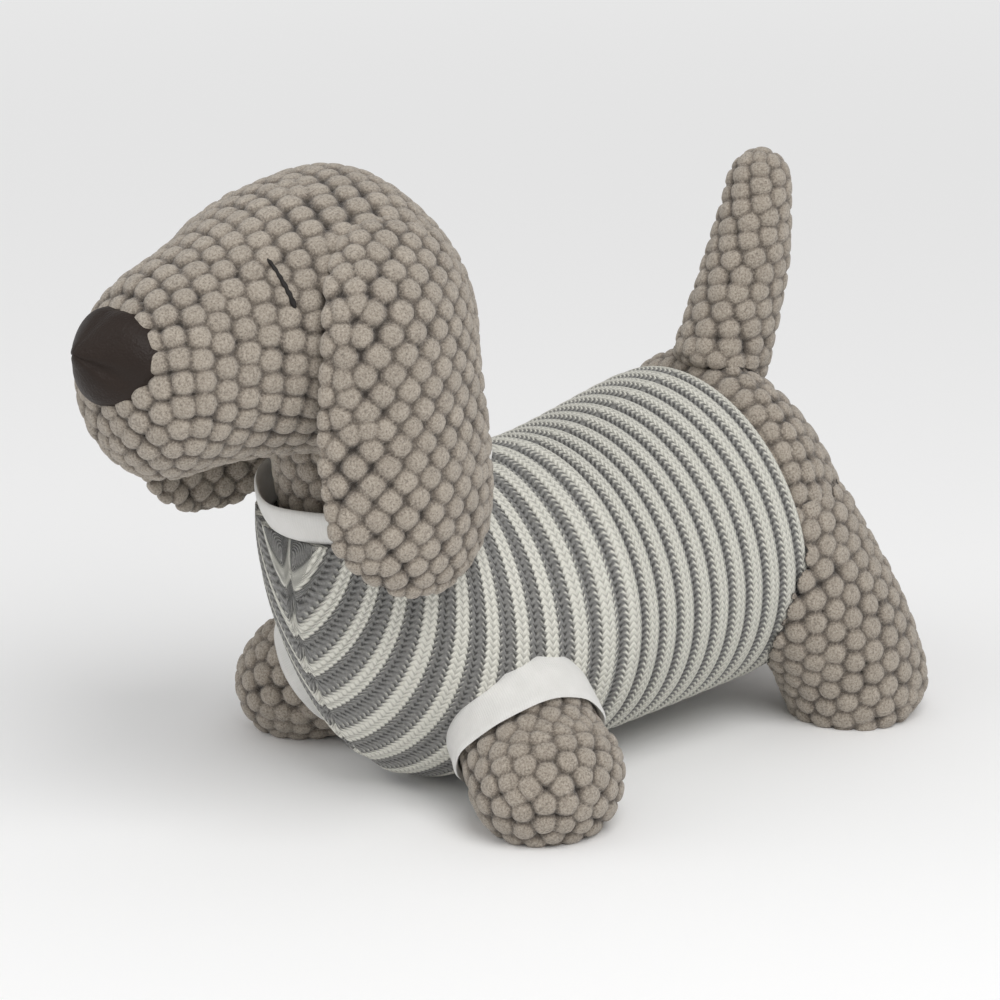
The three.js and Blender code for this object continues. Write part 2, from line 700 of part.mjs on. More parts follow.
// Left hind leg: a haunch against the rump that runs down and back into the paw
const hindForm = new StuffedForm({
  spine: curve([
    [HIND_X + HAUNCH_FORWARD, HAUNCH_SPREAD, HAUNCH_HEIGHT],
    [HIND_X + HAUNCH_FORWARD * 0.8, THREE.MathUtils.lerp(HAUNCH_SPREAD, HIND_SPREAD, 0.5), HAUNCH_HEIGHT * 0.68],
    [HIND_X + HAUNCH_FORWARD * 0.25, HIND_SPREAD, HAUNCH_HEIGHT * 0.31],
    [HIND_X - HAUNCH_FORWARD * 0.2, HIND_SPREAD * 1.06, -HIND_HEIGHT * 0.24],
  ]),
  side: LEFT,
  halfWidth: [
    [0, HIND_RADIUS * 0.75],
    [0.4, HIND_RADIUS * 0.85],
    [0.8, HIND_RADIUS],
    [1, HIND_RADIUS],
  ],
  up: [
    [0, HIND_RADIUS * 1.1],
    [0.4, HIND_RADIUS * 1.15],
    [0.8, HIND_RADIUS * 1.05],
    [1, HIND_RADIUS],
  ],
  startRound: HIND_RADIUS,
  endRound: HIND_RADIUS * 0.6,
  floor: 0,
});

// Sand pouch, and the slit in the belly that it goes in by
const pouchForm = new StuffedForm({
  spine: curve([
    [POUCH_X - POUCH_LENGTH / 2, 0, POUCH_HEIGHT + 2],
    [POUCH_X, 0, POUCH_HEIGHT],
    [POUCH_X + POUCH_LENGTH / 2, 0, POUCH_HEIGHT + 2],
  ]),
  side: LEFT,
  halfWidth: [
    [0, POUCH_HALF_WIDTH],
    [1, POUCH_HALF_WIDTH],
  ],
  up: [
    [0, POUCH_HALF_HEIGHT],
    [1, POUCH_HALF_HEIGHT],
  ],
  startRound: POUCH_HALF_HEIGHT * 0.75,
  endRound: POUCH_HALF_HEIGHT * 0.75,
});
const pouchSkin = (grow) => skin(pouchForm, pouchForm.evenShares(POUCH_RINGS), POUCH_SEGMENTS, grow, () => 0);

function slitGeometry() {
  const slit = new THREE.BoxGeometry(SLIT_LENGTH, SLIT_WIDTH, POUCH_HEIGHT);
  slit.translate(POUCH_X, 0, POUCH_HEIGHT / 2);
  return indexed(slit);
}

// A geometry with its shared corners merged
function indexed(geometry) {
  const position = geometry.getAttribute("position");
  const seen = new Map();
  const points = [];
  const corner = Array.from({ length: position.count }, (_, i) => {
    const p = new THREE.Vector3().fromBufferAttribute(position, i);
    const key = p.toArray().map((x) => x.toFixed(4)).join();
    if (!seen.has(key)) {
      seen.set(key, points.push(p) - 1);
    }
    return seen.get(key);
  });
  return new THREE.BufferGeometry().setFromPoints(points).setIndex(Array.from(geometry.index.array, (i) => corner[i]));
}

// The mirror image of a geometry on the hound's other side, with its faces still pointing out
function flipped(geometry) {
  const twin = geometry.clone().scale(1, -1, 1);
  const index = Array.from(twin.index.array);
  for (let i = 0; i < index.length; i += 3) {
    [index[i + 1], index[i + 2]] = [index[i + 2], index[i + 1]];
  }
  return twin.setIndex(index);
}

function build() {
  const hound = new THREE.Group();
  const headGroup = new THREE.Group();
  headGroup.position.set(HEAD_FORWARD, 0, HEAD_HEIGHT);
  headGroup.rotation.y = THREE.MathUtils.degToRad(HEAD_PITCH);
  const tailGroup = new THREE.Group();
  tailGroup.position.set(TAIL_X, 0, TAIL_ROOT_HEIGHT);
  tailGroup.rotation.y = -THREE.MathUtils.degToRad(TAIL_LEAN);
  hound.add(headGroup, tailGroup);
  hound.updateMatrixWorld(true);

  const inWorld = (geometry, group) => geometry.clone().applyMatrix4(group.matrixWorld);
  const inGroup = (geometry, group) => geometry.clone().applyMatrix4(group.matrixWorld.clone().invert());

  const head = mesh("head", headSkin(0), PLUSH);
  const earLeft = mesh("ear_left", cut(earSkin(0), headSkin(SEAT_GAP)), PLUSH);
  const nose = mesh("nose", noseGeometry(), LEATHER);
  const eyeLeft = mesh("eye_stitch_left", eyeGeometry(), THREAD);
  headGroup.add(head, earLeft, mirrored(earLeft, "ear_right"), nose);
  headGroup.add(eyeLeft, mirrored(eyeLeft, "eye_stitch_right"));

  const plushBody = toSolid(cut(trunkSkin(0), aboveNeckline(-LAYER_GAP))).add(toSolid(neckSkin(0)));
  const headRoom = inWorld(headSkin(SEAT_GAP), headGroup);
  const trunk = mesh("trunk", cut(toGeometry(plushBody), headRoom, pouchSkin(SEAT_GAP), slitGeometry()), PLUSH);
  const pouch = mesh("sand_pouch", pouchSkin(0), COTTON);
  hound.add(trunk, pouch);

  const foreLeft = mesh("foreleg_left", cut(foreSkin(0), trunkSkin(SEAT_GAP)), PLUSH);
  const armhole = foreSkin(SEAT_GAP + BOBBLE_RELIEF / 2, 0);
  const jumper = mesh("jumper", jumperGeometry([armhole, flipped(armhole)]), KNIT);
  const cuffLeft = mesh("cuff_left", cut(cuffGeometry(), foreSkin(SEAT_GAP)), JERSEY);
  hound.add(foreLeft, mirrored(foreLeft, "foreleg_right"), jumper);
  hound.add(cuffLeft, mirrored(cuffLeft, "cuff_right"), mesh("collar", collarGeometry(), JERSEY));

  const hindSkin = skin(hindForm, hindForm.evenShares(HIND_RINGS), LEG_SEGMENTS);
  const hindLeft = mesh("hind_leg_left", cut(hindSkin, trunkSkin(SEAT_GAP), jumperRoom()), PLUSH);
  hound.add(hindLeft, mirrored(hindLeft, "hind_leg_right"));

  const tailSkin = skin(tailForm, tailForm.evenShares(TAIL_RINGS), TAIL_SEGMENTS);
  tailGroup.add(mesh("tail", cut(tailSkin, inGroup(trunkSkin(SEAT_GAP), tailGroup)), PLUSH));

  // The origin is the middle of the underside of the whole hound
  const part = new THREE.Group();
  part.add(hound);
  const box = new THREE.Box3().setFromObject(part, true);
  hound.position.set(-(box.min.x + box.max.x) / 2, 0, -box.min.z);
  return part;
}

export default build();
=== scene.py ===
"""Weighted door stop: a stuffed hound of bobble plush in a ribbed jumper, with a sand pouch inside.

The forms follow the solid model, apart from small shifts of the ears, nose, collar and cuffs. They
are in millimetres in the hound's own frame: +X to the nose, +Y to the hound's left, +Z up, and
Z = 0 on the floor. Meshes are made in metres in the frame's own axes.
"""

import math

import bpy
import numpy as np
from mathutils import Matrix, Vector, kdtree


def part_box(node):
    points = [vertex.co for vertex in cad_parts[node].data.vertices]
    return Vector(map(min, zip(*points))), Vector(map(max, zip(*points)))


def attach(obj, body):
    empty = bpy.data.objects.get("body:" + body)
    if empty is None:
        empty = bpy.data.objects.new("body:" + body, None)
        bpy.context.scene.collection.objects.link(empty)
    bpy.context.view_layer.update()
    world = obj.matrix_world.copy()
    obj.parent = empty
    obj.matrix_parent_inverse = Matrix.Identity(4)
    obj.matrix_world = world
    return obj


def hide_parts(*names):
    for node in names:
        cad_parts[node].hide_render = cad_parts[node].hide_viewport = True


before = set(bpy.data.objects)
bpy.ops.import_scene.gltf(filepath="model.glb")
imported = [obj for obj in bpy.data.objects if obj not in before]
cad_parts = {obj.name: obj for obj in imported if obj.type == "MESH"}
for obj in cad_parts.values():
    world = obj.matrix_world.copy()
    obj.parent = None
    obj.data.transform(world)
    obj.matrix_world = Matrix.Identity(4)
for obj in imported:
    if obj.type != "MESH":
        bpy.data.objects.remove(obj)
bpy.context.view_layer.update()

bl_info = {
    "name": "Plush hound door stop",
    "version": (1, 0, 0),
    "blender": (4, 5, 0),
    "location": "3D View > Sidebar > Door stop",
    "description": "Makes the cloth, leather and thread of a stuffed hound that holds a door",
    "category": "Object",
}

BODY = "root"

# How pieces meet, in millimetres
SEAT_GAP = 0.3
LAYER_GAP = 0.6

# Trunk
RUMP_X = -197
PROW_X = 56
BARREL_X = -135
DIP_X = -58
SHOULDER_X = -4
BARREL_TOP = 130
DIP_TOP = 117
WITHERS_X = -24
WITHERS_TOP = 126
BARREL_BELLY = 10
SHOULDER_BELLY = 2.6
PROW_BELLY = 112
PROW_TOP = 164
PROW_KEEL = 1.8
BARREL_HALF_WIDTH = 61
SHOULDER_HALF_WIDTH = 58
RUMP_ROUND = 42
PROW_ROUND = 52
PROW_EDGE = 1
REAR_SLANT = 0.14
NECK_RADIUS = 28
NECK_BASE = (16, 88)
NECK_TOP = (30, 152)

# Jumper
JUMPER_THICKNESS = 2.2
REAR_RIBS = 10
FRONT_RIBS = 15
FLANK_ANGLE = -0.5
CHEST_LEAN = 0.1
HEM_X = -143
NECKLINE_FRONT = 106
NECKLINE_RISE = 0.13

# White jersey bindings
JERSEY_THICKNESS = 1.8
COLLAR_WIDTH = 15
COLLAR_X = 16.5
COLLAR_HALF_LENGTH = 39
COLLAR_HALF_WIDTH = 37
COLLAR_FLARE = -5
CUFF_WIDTH = 15
CUFF_START = 0.2
CUFF_SLACK = 0.9
CUFF_CLEAR = 1.2

# Head
HEAD_LENGTH = 153
SKULL_BACK = 50
SKULL_HALF_WIDTH = 54
SKULL_HALF_HEIGHT = 57
MUZZLE_HALF_WIDTH = 32
MUZZLE_HALF_HEIGHT = 33
HEAD_HEIGHT = 179
HEAD_FORWARD = 32
HEAD_PITCH = 1
MUZZLE_DROOP = 5

# Ears
EAR_X = 13
EAR_TIP_HEIGHT = -76
EAR_HALF_WIDTH = 38
EAR_HALF_THICKNESS = 6
EAR_SPREAD = 12
EAR_WRAP = 0.0095

# Nose and eyes
NOSE_RADIUS = 19
NOSE_POINT = 10
NOSE_LIFT = 17
EYE_THREAD = 1.3
EYE_ENDS = ((0.615, 0.32), (0.61, 0.172))

# Tail
TAIL_X = -158
TAIL_ROOT_HEIGHT = 141
TAIL_LENGTH = 73
TAIL_RADIUS = 15
TAIL_LEAN = 16.5
TAIL_DEPTH = 14
RUMP_RISE = 9

# Legs
FORE_X = -8
FORE_RADIUS = 29
FORE_REACH = 68.5
FORE_HALF_HEIGHT = 25
FORE_HEIGHT = 21
FORE_TOE = 9
HIND_X = -180
HIND_RADIUS = 26.5
HIND_SPREAD = 52
HIND_HEIGHT = 25
HAUNCH_FORWARD = 32
HAUNCH_SPREAD = 36
HAUNCH_HEIGHT = 99

# Bobbles: how they lie and what they stand up by
HEAD_ROW_LEAN = 0.12
TAIL_CLIMB = 4
EAR_PITCH = 1.12
EAR_ROW = 0.84
MOST_ROWS = 40
SIZE_SPREAD = 0.04
FULLNESS = 0.6
CREASE_FLOOR = 0.62
FILL_REACH = 1.08
BASE_LEVEL = 0.55
EAR_BEDDING = 0.4

# Knit of the jumper
POINTS_PER_RIB = 13
JUMPER_SEGMENTS = 230
SEAM_HALF_WIDTH = 1.6
SEAM_DEPTH = 1.3
SEAM_START_X = 10
SEAM_FADE = 12
HEM_ROLL = 0.9
HEM_ROLL_RIBS = 0.4

# Points and stitches round the bands
COLLAR_SEGMENTS = 240
CUFF_SEGMENTS = 200
BAND_ROWS = 12
BAND_COURSES = 16
NECK_SEGMENTS = 96

# Distance between the points of a skin, where it isn't the plush's own
TRUNK_GRAIN = 1.25
EAR_GRAIN = 0.95
TAIL_GRAIN = 0.9
FORE_GRAIN = 0.95
HIND_GRAIN = 1.0
NOSE_GRAIN = 0.7
ROOM_GRAIN = 3.0
NOSE_ROOM_GRAIN = 2.0

# Folds of the nose: angle, width and share of the full depth
NOSE_FOLDS = ((-0.5, 0.22, 1.0), (-2.64, 0.22, 1.0), (1.6, 0.3, 0.45))
NOSE_BEDDING = 1.2

# Floor, in metres: its half width, and where it fades into the backdrop
FLOOR_HALF = 6.0
FADE_MIDDLE = 1.3
FADE_HALF = 0.9
LAMP_TARGET = (0, 0, 0.1)

# Photograph's view: where the camera stands and what it looks at
VIEW_AZIMUTH = 140
VIEW_ELEVATION = 18
VIEW_DISTANCE = 1.6
VIEW_TARGET = (-22, 0, 104)

# The frame's origin lies this far behind the hound's own one
SHIFT = COLLAR_X - sum(corner[0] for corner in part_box("collar")) / 2 * 1000


# Forms

def even_turn(count):
    """Angles of even steps round a full turn."""
    return np.arange(count) * 2 * math.pi / count


def eased(stations, at):
    """Value of a profile at some shares, eased between stations (share, value)."""
    share, value = np.array(stations, dtype=float).T
    steps = np.diff(value) / np.diff(share)
    slope = np.zeros_like(value)
    for k in range(1, len(value) - 1):
        if steps[k - 1] * steps[k] > 0:
            slope[k] = 2 * steps[k - 1] * steps[k] / (steps[k - 1] + steps[k])
    k = np.clip(np.searchsorted(share, at) - 1, 0, len(share) - 2)
    span = share[k + 1] - share[k]
    x = np.clip((at - share[k]) / span, 0, 1)
    h = x * x * (3 - 2 * x)
    lean = slope[k] * x * (1 - x) ** 2 - slope[k + 1] * x * x * (1 - x)
    return value[k] * (1 - h) + value[k + 1] * h + span * lean


class Spine:
    """A smooth curve through a few points, walked by the share of its length."""

    def __init__(self, points):
        knots = np.array(points, dtype=float)
        ends = np.vstack([2 * knots[0] - knots[1], knots, 2 * knots[-1] - knots[-2]])
        walk = [knots[:1]]
        for p0, p1, p2, p3 in zip(ends, ends[1:], ends[2:], ends[3:]):
            d0, d1, d2 = (np.linalg.norm(b - a) ** 0.5 for a, b in ((p0, p1), (p1, p2), (p2, p3)))
            m1 = ((p1 - p0) / d0 - (p2 - p0) / (d0 + d1) + (p2 - p1) / d1) * d1
            m2 = ((p2 - p1) / d1 - (p3 - p1) / (d1 + d2) + (p3 - p2) / d2) * d1
            s = np.linspace(0, 1, 81)[1:, None]
            bend = (2 * p1 - 2 * p2 + m1 + m2) * s**3 + (3 * p2 - 3 * p1 - 2 * m1 - m2) * s**2
            walk.append(p1 + m1 * s + bend)
        self.walk = np.vstack(walk)
        run = np.r_[0, np.cumsum(np.linalg.norm(np.diff(self.walk, axis=0), axis=1))]
        self.length = run[-1]
        self.share = run / run[-1]
        along = np.gradient(self.walk, self.share, axis=0)
        self.along = along / np.linalg.norm(along, axis=1)[:, None]

    def _look_up(self, table, t):
        return np.stack([np.interp(t, self.share, table[:, k]) for k in range(3)], axis=-1)

    def point(self, t):
        return self._look_up(self.walk, t)

    def tangent(self, t):
        along = self._look_up(self.along, t)
        return along / np.linalg.norm(along, axis=-1, keepdims=True)


class Form:
    """A closed form laid out in rings: share t runs along it and angle a runs round it."""

    floor = None

    def roundness(self, t, start=None, end=None):
        """Share of the full section that is left near the rounded ends."""
        head = np.clip(t * self.length / (start or self.start_round), 0, 1)
        foot = np.clip((1 - t) * self.length / (end or self.end_round), 0, 1)
        return np.sqrt(np.clip(1 - (1 - head) ** 2, 0, 1) * np.clip(1 - (1 - foot) ** 2, 0, 1))

    def normal(self, t, a):
        step = 1e-3
        inner = np.clip(t, 2 * step, 1 - 2 * step)
        around = self.point(inner, a + 5 * step) - self.point(inner, a - 5 * step)
        along = self.point(inner + step, a) - self.point(inner - step, a)
        out = np.cross(around, along)
        return out / np.maximum(np.linalg.norm(out, axis=-1, keepdims=True), 1e-12)

    def at(self, t, a, out=0.0):
        """The surface moved out by some distance, and kept above the floor."""
        t, a, out = np.broadcast_arrays(t, a, out)
        return self.grounded(self.point(t, a) + self.normal(t, a) * out[..., None])

    def grounded(self, points):
        if self.floor is not None:
            points[..., 2] = np.maximum(points[..., 2], self.floor)
        return points

    def even_shares(self, spacing, start=0.0, end=1.0):
        """Shares whose rings lie about one spacing apart over the surface."""
        k = np.linspace(0, math.pi, 241)
        t = start + (end - start) * (1 - np.cos(k)) / 2
        sides = self.point(t[:, None], np.arange(4)[None, :] * math.pi / 2)
        run = np.r_[0, np.cumsum(np.linalg.norm(np.diff(sides, axis=0), axis=2).mean(axis=1))]
        count = max(3, round(run[-1] / spacing))
        return np.interp(np.linspace(0, run[-1], count + 1), run, t)

    def girth(self, t):
        """Angles round one ring and the way walked over the surface to each."""
        a = np.linspace(-math.pi, math.pi, 181)
        ring = self.point(np.full_like(a, t), a)
        return a, np.r_[0, np.cumsum(np.linalg.norm(np.diff(ring, axis=0), axis=1))]


class StuffedForm(Form):
    """A stuffed form round a spine. side is the direction of its half width."""

    def __init__(self, spine, side, half_width, up, down=None, rounds=(10, 10), floor=None):
        self.spine = Spine(spine)
        self.length = self.spine.length
        self.side = np.array(side, dtype=float)
        self.half_width = half_width
        self.up = up
        self.down = down or up
        self.start_round, self.end_round = rounds
        self.floor = floor

    def point(self, t, a):
        t, a = np.broadcast_arrays(t, a)
        along = self.spine.tangent(t)
        side = self.side - along * (along @ self.side)[..., None]
        side /= np.linalg.norm(side, axis=-1, keepdims=True)
        up = np.cross(along, side)
        left = self.roundness(t)
        tall = np.where(np.sin(a) > 0, eased(self.up, t), eased(self.down, t)) * left
        wide = eased(self.half_width, t) * left
        across = side * (np.cos(a) * wide)[..., None]
        return self.spine.point(t) + across + up * (np.sin(a) * tall)[..., None]


class FlapForm(StuffedForm):
    """An ear: a flat form that wraps a little round the skull."""

    def point(self, t, a):
        p = super().point(t, a)
        p[..., 1] -= EAR_WRAP * (p[..., 0] - EAR_X) ** 2
        return p


class TrunkForm(Form):
    """The trunk in upright slices along X."""

    half_width = (
        (RUMP_X, BARREL_HALF_WIDTH),
        (BARREL_X, BARREL_HALF_WIDTH),
        (DIP_X, (BARREL_HALF_WIDTH + SHOULDER_HALF_WIDTH) / 2),
        (SHOULDER_X, SHOULDER_HALF_WIDTH),
        (PROW_X, SHOULDER_HALF_WIDTH * 0.84),
    )
    top = (
        (RUMP_X, BARREL_TOP),
        (TAIL_X, BARREL_TOP + RUMP_RISE),
        (HEM_X, BARREL_TOP + RUMP_RISE * 0.15),
        (BARREL_X, BARREL_TOP),
        (DIP_X, DIP_TOP),
        (WITHERS_X, DIP_TOP * 1.01),
        (SHOULDER_X, WITHERS_TOP),
        (PROW_X, PROW_TOP),
    )
    belly = (
        (RUMP_X, BARREL_BELLY * 2),
        (BARREL_X, BARREL_BELLY),
        (SHOULDER_X, SHOULDER_BELLY),
        (SHOULDER_X * 0.5 + PROW_X * 0.5, PROW_BELLY * 0.17),
        (SHOULDER_X * 0.19 + PROW_X * 0.81, PROW_BELLY * 0.45),
        (SHOULDER_X * 0.05 + PROW_X * 0.95, PROW_BELLY * 0.7),
        (PROW_X, PROW_BELLY),
    )
    start_round = RUMP_ROUND
    end_round = PROW_ROUND
    length = PROW_X - RUMP_X

    def share_of(self, x):
        return (x - RUMP_X) / self.length

    def slice(self, x):
        """Middle height, half height, half width and slant of the slice at x."""
        t = self.share_of(x)
        top = eased(self.top, x)
        belly = eased(self.belly, x)
        tall = (top - belly) / 2 * self.roundness(t, end=PROW_EDGE)
        wide = eased(self.half_width, x) * self.roundness(t)
        slant = REAR_SLANT * np.clip((DIP_X - x) / (DIP_X - HEM_X), 0, 1)
        return (top + belly) / 2, tall, wide, slant

    def keel(self, x, lift):
        """Power of the cosine in a slice, which sharpens its lower half under the prow."""
        forward = np.clip((x - WITHERS_X) / (PROW_X - WITHERS_X), 0, 1)
        return 1 + (PROW_KEEL - 1) * forward * (lift < 0)

    def point(self, t, a):
        t, a = np.broadcast_arrays(t, a)
        x = RUMP_X + t * self.length
        middle, tall, wide, slant = self.slice(x)
        lift = np.sin(a) * tall
        across = np.sign(np.cos(a)) * np.abs(np.cos(a)) ** self.keel(x, lift)
        return np.stack([x + slant * lift, across * wide, middle + lift], axis=-1)

    def slice_of(self, points):
        """The x of the slice that each point lies on, and its angle round it."""
        x = points[:, 0].copy()
        for _ in range(6):
            middle, tall, wide, slant = self.slice(np.clip(x, RUMP_X, PROW_X))
            x = points[:, 0] - slant * (points[:, 2] - middle)
        across = points[:, 1] / np.maximum(wide, 1)
        upright = (points[:, 2] - middle) / np.maximum(tall, 1)
        across = np.sign(across) * np.abs(across) ** (1 / self.keel(x, upright))
        return x, np.arctan2(upright, across)

    def holds(self, points, outside):
        """Whether points lie inside the form or less than some distance outside it."""
        middle, tall, wide, _ = self.slice(np.clip(points[..., 0], RUMP_X, PROW_X))
        across = np.abs(points[..., 1] / (wide + outside))
        upright = (points[..., 2] - middle) / (tall + outside)
        return across ** (2 / self.keel(points[..., 0], upright)) + upright**2 < 1


LEFT = (0, 1, 0)
FORWARD = (1, 0, 0)


def profile(size, *stations):
    """Stations whose values are shares of one size."""
    return [(share, size * part) for share, part in stations]


trunk_form = TrunkForm()
hem_share = trunk_form.share_of(HEM_X)

neck_form = StuffedForm(
    spine=[
        (NECK_BASE[0], 0, NECK_BASE[1]),
        ((NECK_BASE[0] + NECK_TOP[0]) / 2, 0, (NECK_BASE[1] + NECK_TOP[1]) / 2),
        (NECK_TOP[0], 0, NECK_TOP[1]),
    ],
    side=LEFT,
    half_width=profile(NECK_RADIUS, (0, 1), (1, 1)),
    up=profile(NECK_RADIUS, (0, 1), (1, 1)),
)

head_form = StuffedForm(
    spine=[
        (-SKULL_BACK, 0, MUZZLE_DROOP * 0.4),
        (-SKULL_BACK * 0.4, 0, 0),
        (HEAD_LENGTH * 0.12, 0, 0),
        (HEAD_LENGTH * 0.36, 0, -MUZZLE_DROOP * 0.6),
        (HEAD_LENGTH - SKULL_BACK, 0, -MUZZLE_DROOP),
    ],
    side=LEFT,
    half_width=profile(SKULL_HALF_WIDTH, (0, 0.92), (0.3, 1), (0.5, 0.9))
    + profile(MUZZLE_HALF_WIDTH, (0.72, 1.12), (0.9, 1), (1, 1)),
    up=profile(SKULL_HALF_HEIGHT, (0, 0.95), (0.33, 1.02), (0.55, 0.93))
    + profile(MUZZLE_HALF_HEIGHT, (0.8, 1.26), (1, 1)),
    down=profile(SKULL_HALF_HEIGHT, (0, 0.9), (0.3, 0.9), (0.5, 0.66))
    + profile(MUZZLE_HALF_HEIGHT, (0.75, 0.96), (1, 1)),
    rounds=(SKULL_HALF_WIDTH, MUZZLE_HALF_HEIGHT * 0.73),
)

ear_form = FlapForm(
    spine=[
        (EAR_X - EAR_HALF_WIDTH * 0.48, SKULL_HALF_WIDTH * 0.6, SKULL_HALF_HEIGHT * 0.78),
        (EAR_X - EAR_HALF_WIDTH * 0.16, SKULL_HALF_WIDTH * 0.99, SKULL_HALF_HEIGHT * 0.36),
        (EAR_X - EAR_HALF_WIDTH * 0.08, SKULL_HALF_WIDTH + EAR_SPREAD * 0.7, EAR_TIP_HEIGHT * 0.3),
        (EAR_X - EAR_HALF_WIDTH * 0.06, SKULL_HALF_WIDTH + EAR_SPREAD, EAR_TIP_HEIGHT * 0.7),
        (EAR_X, SKULL_HALF_WIDTH + EAR_SPREAD * 0.7, EAR_TIP_HEIGHT * 1.05),
    ],
    side=FORWARD,
    half_width=profile(EAR_HALF_WIDTH, (0, 0.6), (0.28, 0.88), (0.65, 1), (0.85, 0.94), (1, 0.82)),
    up=profile(EAR_HALF_THICKNESS, (0, 1), (1, 1)),
    rounds=(EAR_HALF_WIDTH * 0.37, EAR_HALF_WIDTH * 0.68),
)

nose_tip = head_form.spine.point(np.array(1.0))
nose_form = StuffedForm(
    spine=[
        (nose_tip[0] - NOSE_RADIUS * 1.2, 0, nose_tip[2] + NOSE_LIFT * 0.6),
        (nose_tip[0] - NOSE_RADIUS * 0.3, 0, nose_tip[2] + NOSE_LIFT * 0.85),
        (nose_tip[0] + NOSE_POINT, 0, nose_tip[2] + NOSE_LIFT * 1.1),
    ],
    side=LEFT,
    half_width=profile(NOSE_RADIUS, (0, 1.3), (0.5, 1.1), (1, 0.3)),
    up=profile(NOSE_RADIUS, (0, 1), (0.6, 0.88), (1, 0.3)),
    rounds=(NOSE_RADIUS * 0.2, NOSE_RADIUS * 0.4),
)

tail_form = StuffedForm(
    spine=[
        (0, 0, -TAIL_DEPTH),
        (-TAIL_LENGTH * 0.03, 0, TAIL_LENGTH * 0.4),
        (0, 0, TAIL_LENGTH * 0.75),
        (TAIL_LENGTH * 0.04, 0, TAIL_LENGTH),
    ],
    side=LEFT,
    half_width=profile(TAIL_RADIUS, (0, 1.1), (0.5, 1), (1, 0.7)),
    up=profile(TAIL_RADIUS, (0, 1.25), (0.5, 1.05), (1, 0.72)),
    rounds=(TAIL_RADIUS * 0.33, TAIL_RADIUS * 0.8),
)

fore_form = StuffedForm(
    spine=[
        (FORE_X - FORE_TOE, SHOULDER_HALF_WIDTH * 0.45, FORE_HEIGHT * 2.2),
        (FORE_X - FORE_TOE * 0.6, FORE_REACH * 0.68, FORE_HEIGHT * 1.7),
        (FORE_X, FORE_REACH, FORE_HEIGHT * 0.95),
        (FORE_X + FORE_TOE * 0.4, FORE_REACH + FORE_RADIUS * 0.85, FORE_HEIGHT * 0.65),
    ],
    side=FORWARD,
    half_width=profile(FORE_RADIUS, (0, 0.82), (0.4, 0.85), (0.75, 1), (1, 1)),
    up=profile(FORE_HALF_HEIGHT, (0, 0.96), (0.45, 1), (1, 1)),
    rounds=(FORE_RADIUS * 0.3, FORE_RADIUS * 0.9),
    floor=0,
)

hind_form = StuffedForm(
    spine=[
        (HIND_X + HAUNCH_FORWARD, HAUNCH_SPREAD, HAUNCH_HEIGHT),
        (HIND_X + HAUNCH_FORWARD * 0.8, (HAUNCH_SPREAD + HIND_SPREAD) / 2, HAUNCH_HEIGHT * 0.68),
        (HIND_X + HAUNCH_FORWARD * 0.25, HIND_SPREAD, HAUNCH_HEIGHT * 0.31),
        (HIND_X - HAUNCH_FORWARD * 0.2, HIND_SPREAD * 1.06, -HIND_HEIGHT * 0.24),
    ],
    side=LEFT,
    half_width=profile(HIND_RADIUS, (0, 0.75), (0.4, 0.85), (0.8, 1), (1, 1)),
    up=profile(HIND_RADIUS, (0, 1.1), (0.4, 1.15), (0.8, 1.05), (1, 1)),
    rounds=(HIND_RADIUS, HIND_RADIUS * 0.6),
    floor=0,
)


# Places of the pieces that have a frame of their own

def turned(points, degrees, offset):
    """Points turned about Y and then moved."""
    c, s = math.cos(math.radians(degrees)), math.sin(math.radians(degrees))
    turn = np.array([[c, 0, s], [0, 1, 0], [-s, 0, c]])
    return points @ turn.T + np.array(offset)


def on_head(points):
    return turned(points, HEAD_PITCH, (HEAD_FORWARD, 0, HEAD_HEIGHT))


def on_tail(points):
    return turned(points, -TAIL_LEAN, (TAIL_X, 0, TAIL_ROOT_HEIGHT))


def in_place(points):
    return points


def to_frame(points):
    """From the hound's millimetres to the frame's metres."""
    return (points - np.array([SHIFT, 0, 0])) / 1000


# Bobbles

def spread_of(cloth):
    """Distance between bobbles along a row, and between rows, in millimetres."""
    return cloth.pitch * 1000, cloth.row * 1000


def in_rows(form, cloth, lean):
    """Shares and angles of bobbles in rows that run along the form, out from its top line."""
    pitch, row = spread_of(cloth)
    shares = form.even_shares(pitch)
    index = np.arange(len(shares))
    places = []
    for k in range(1, len(shares) - 1):
        for side in (-1, 1):
            for m in range(MOST_ROWS):
                t = np.interp(k - 0.5 + (lean * m) % 1, index, shares)
                a, run = form.girth(t)
                top = np.interp(math.pi / 2, a, run)
                walked = (m + 0.5) * row
                if walked > run[-1] / 2 - row * 0.35:
                    break
                places.append((t, np.interp((top + side * walked) % run[-1], run, a)))
    return np.array(places)


def in_rounds(form, cloth, climb=0):
    """Shares and angles of bobbles in rounds, each set half a bobble on from the last.

    Where climb is given, the rounds climb by that many rows in each turn."""
    pitch, row = spread_of(cloth)
    shares = form.even_shares(row)
    index = np.arange(len(shares))
    places = [(shares[0], 0.0), (shares[-1], 0.0)]
    for k in range(1 - climb, len(shares) - 1):
        a, run = form.girth(shares[max(k, 1)])
        count = max(3, round(run[-1] / pitch))
        turn = (np.arange(count) + 0.5 * (k % 2)) / count
        level = k + climb * turn
        inside = (level > 0.5) & (level < len(shares) - 1.5)
        angles = np.interp(turn * run[-1], run, a)
        places.extend(zip(np.interp(level[inside], index, shares), angles[inside]))
    return np.array(places)


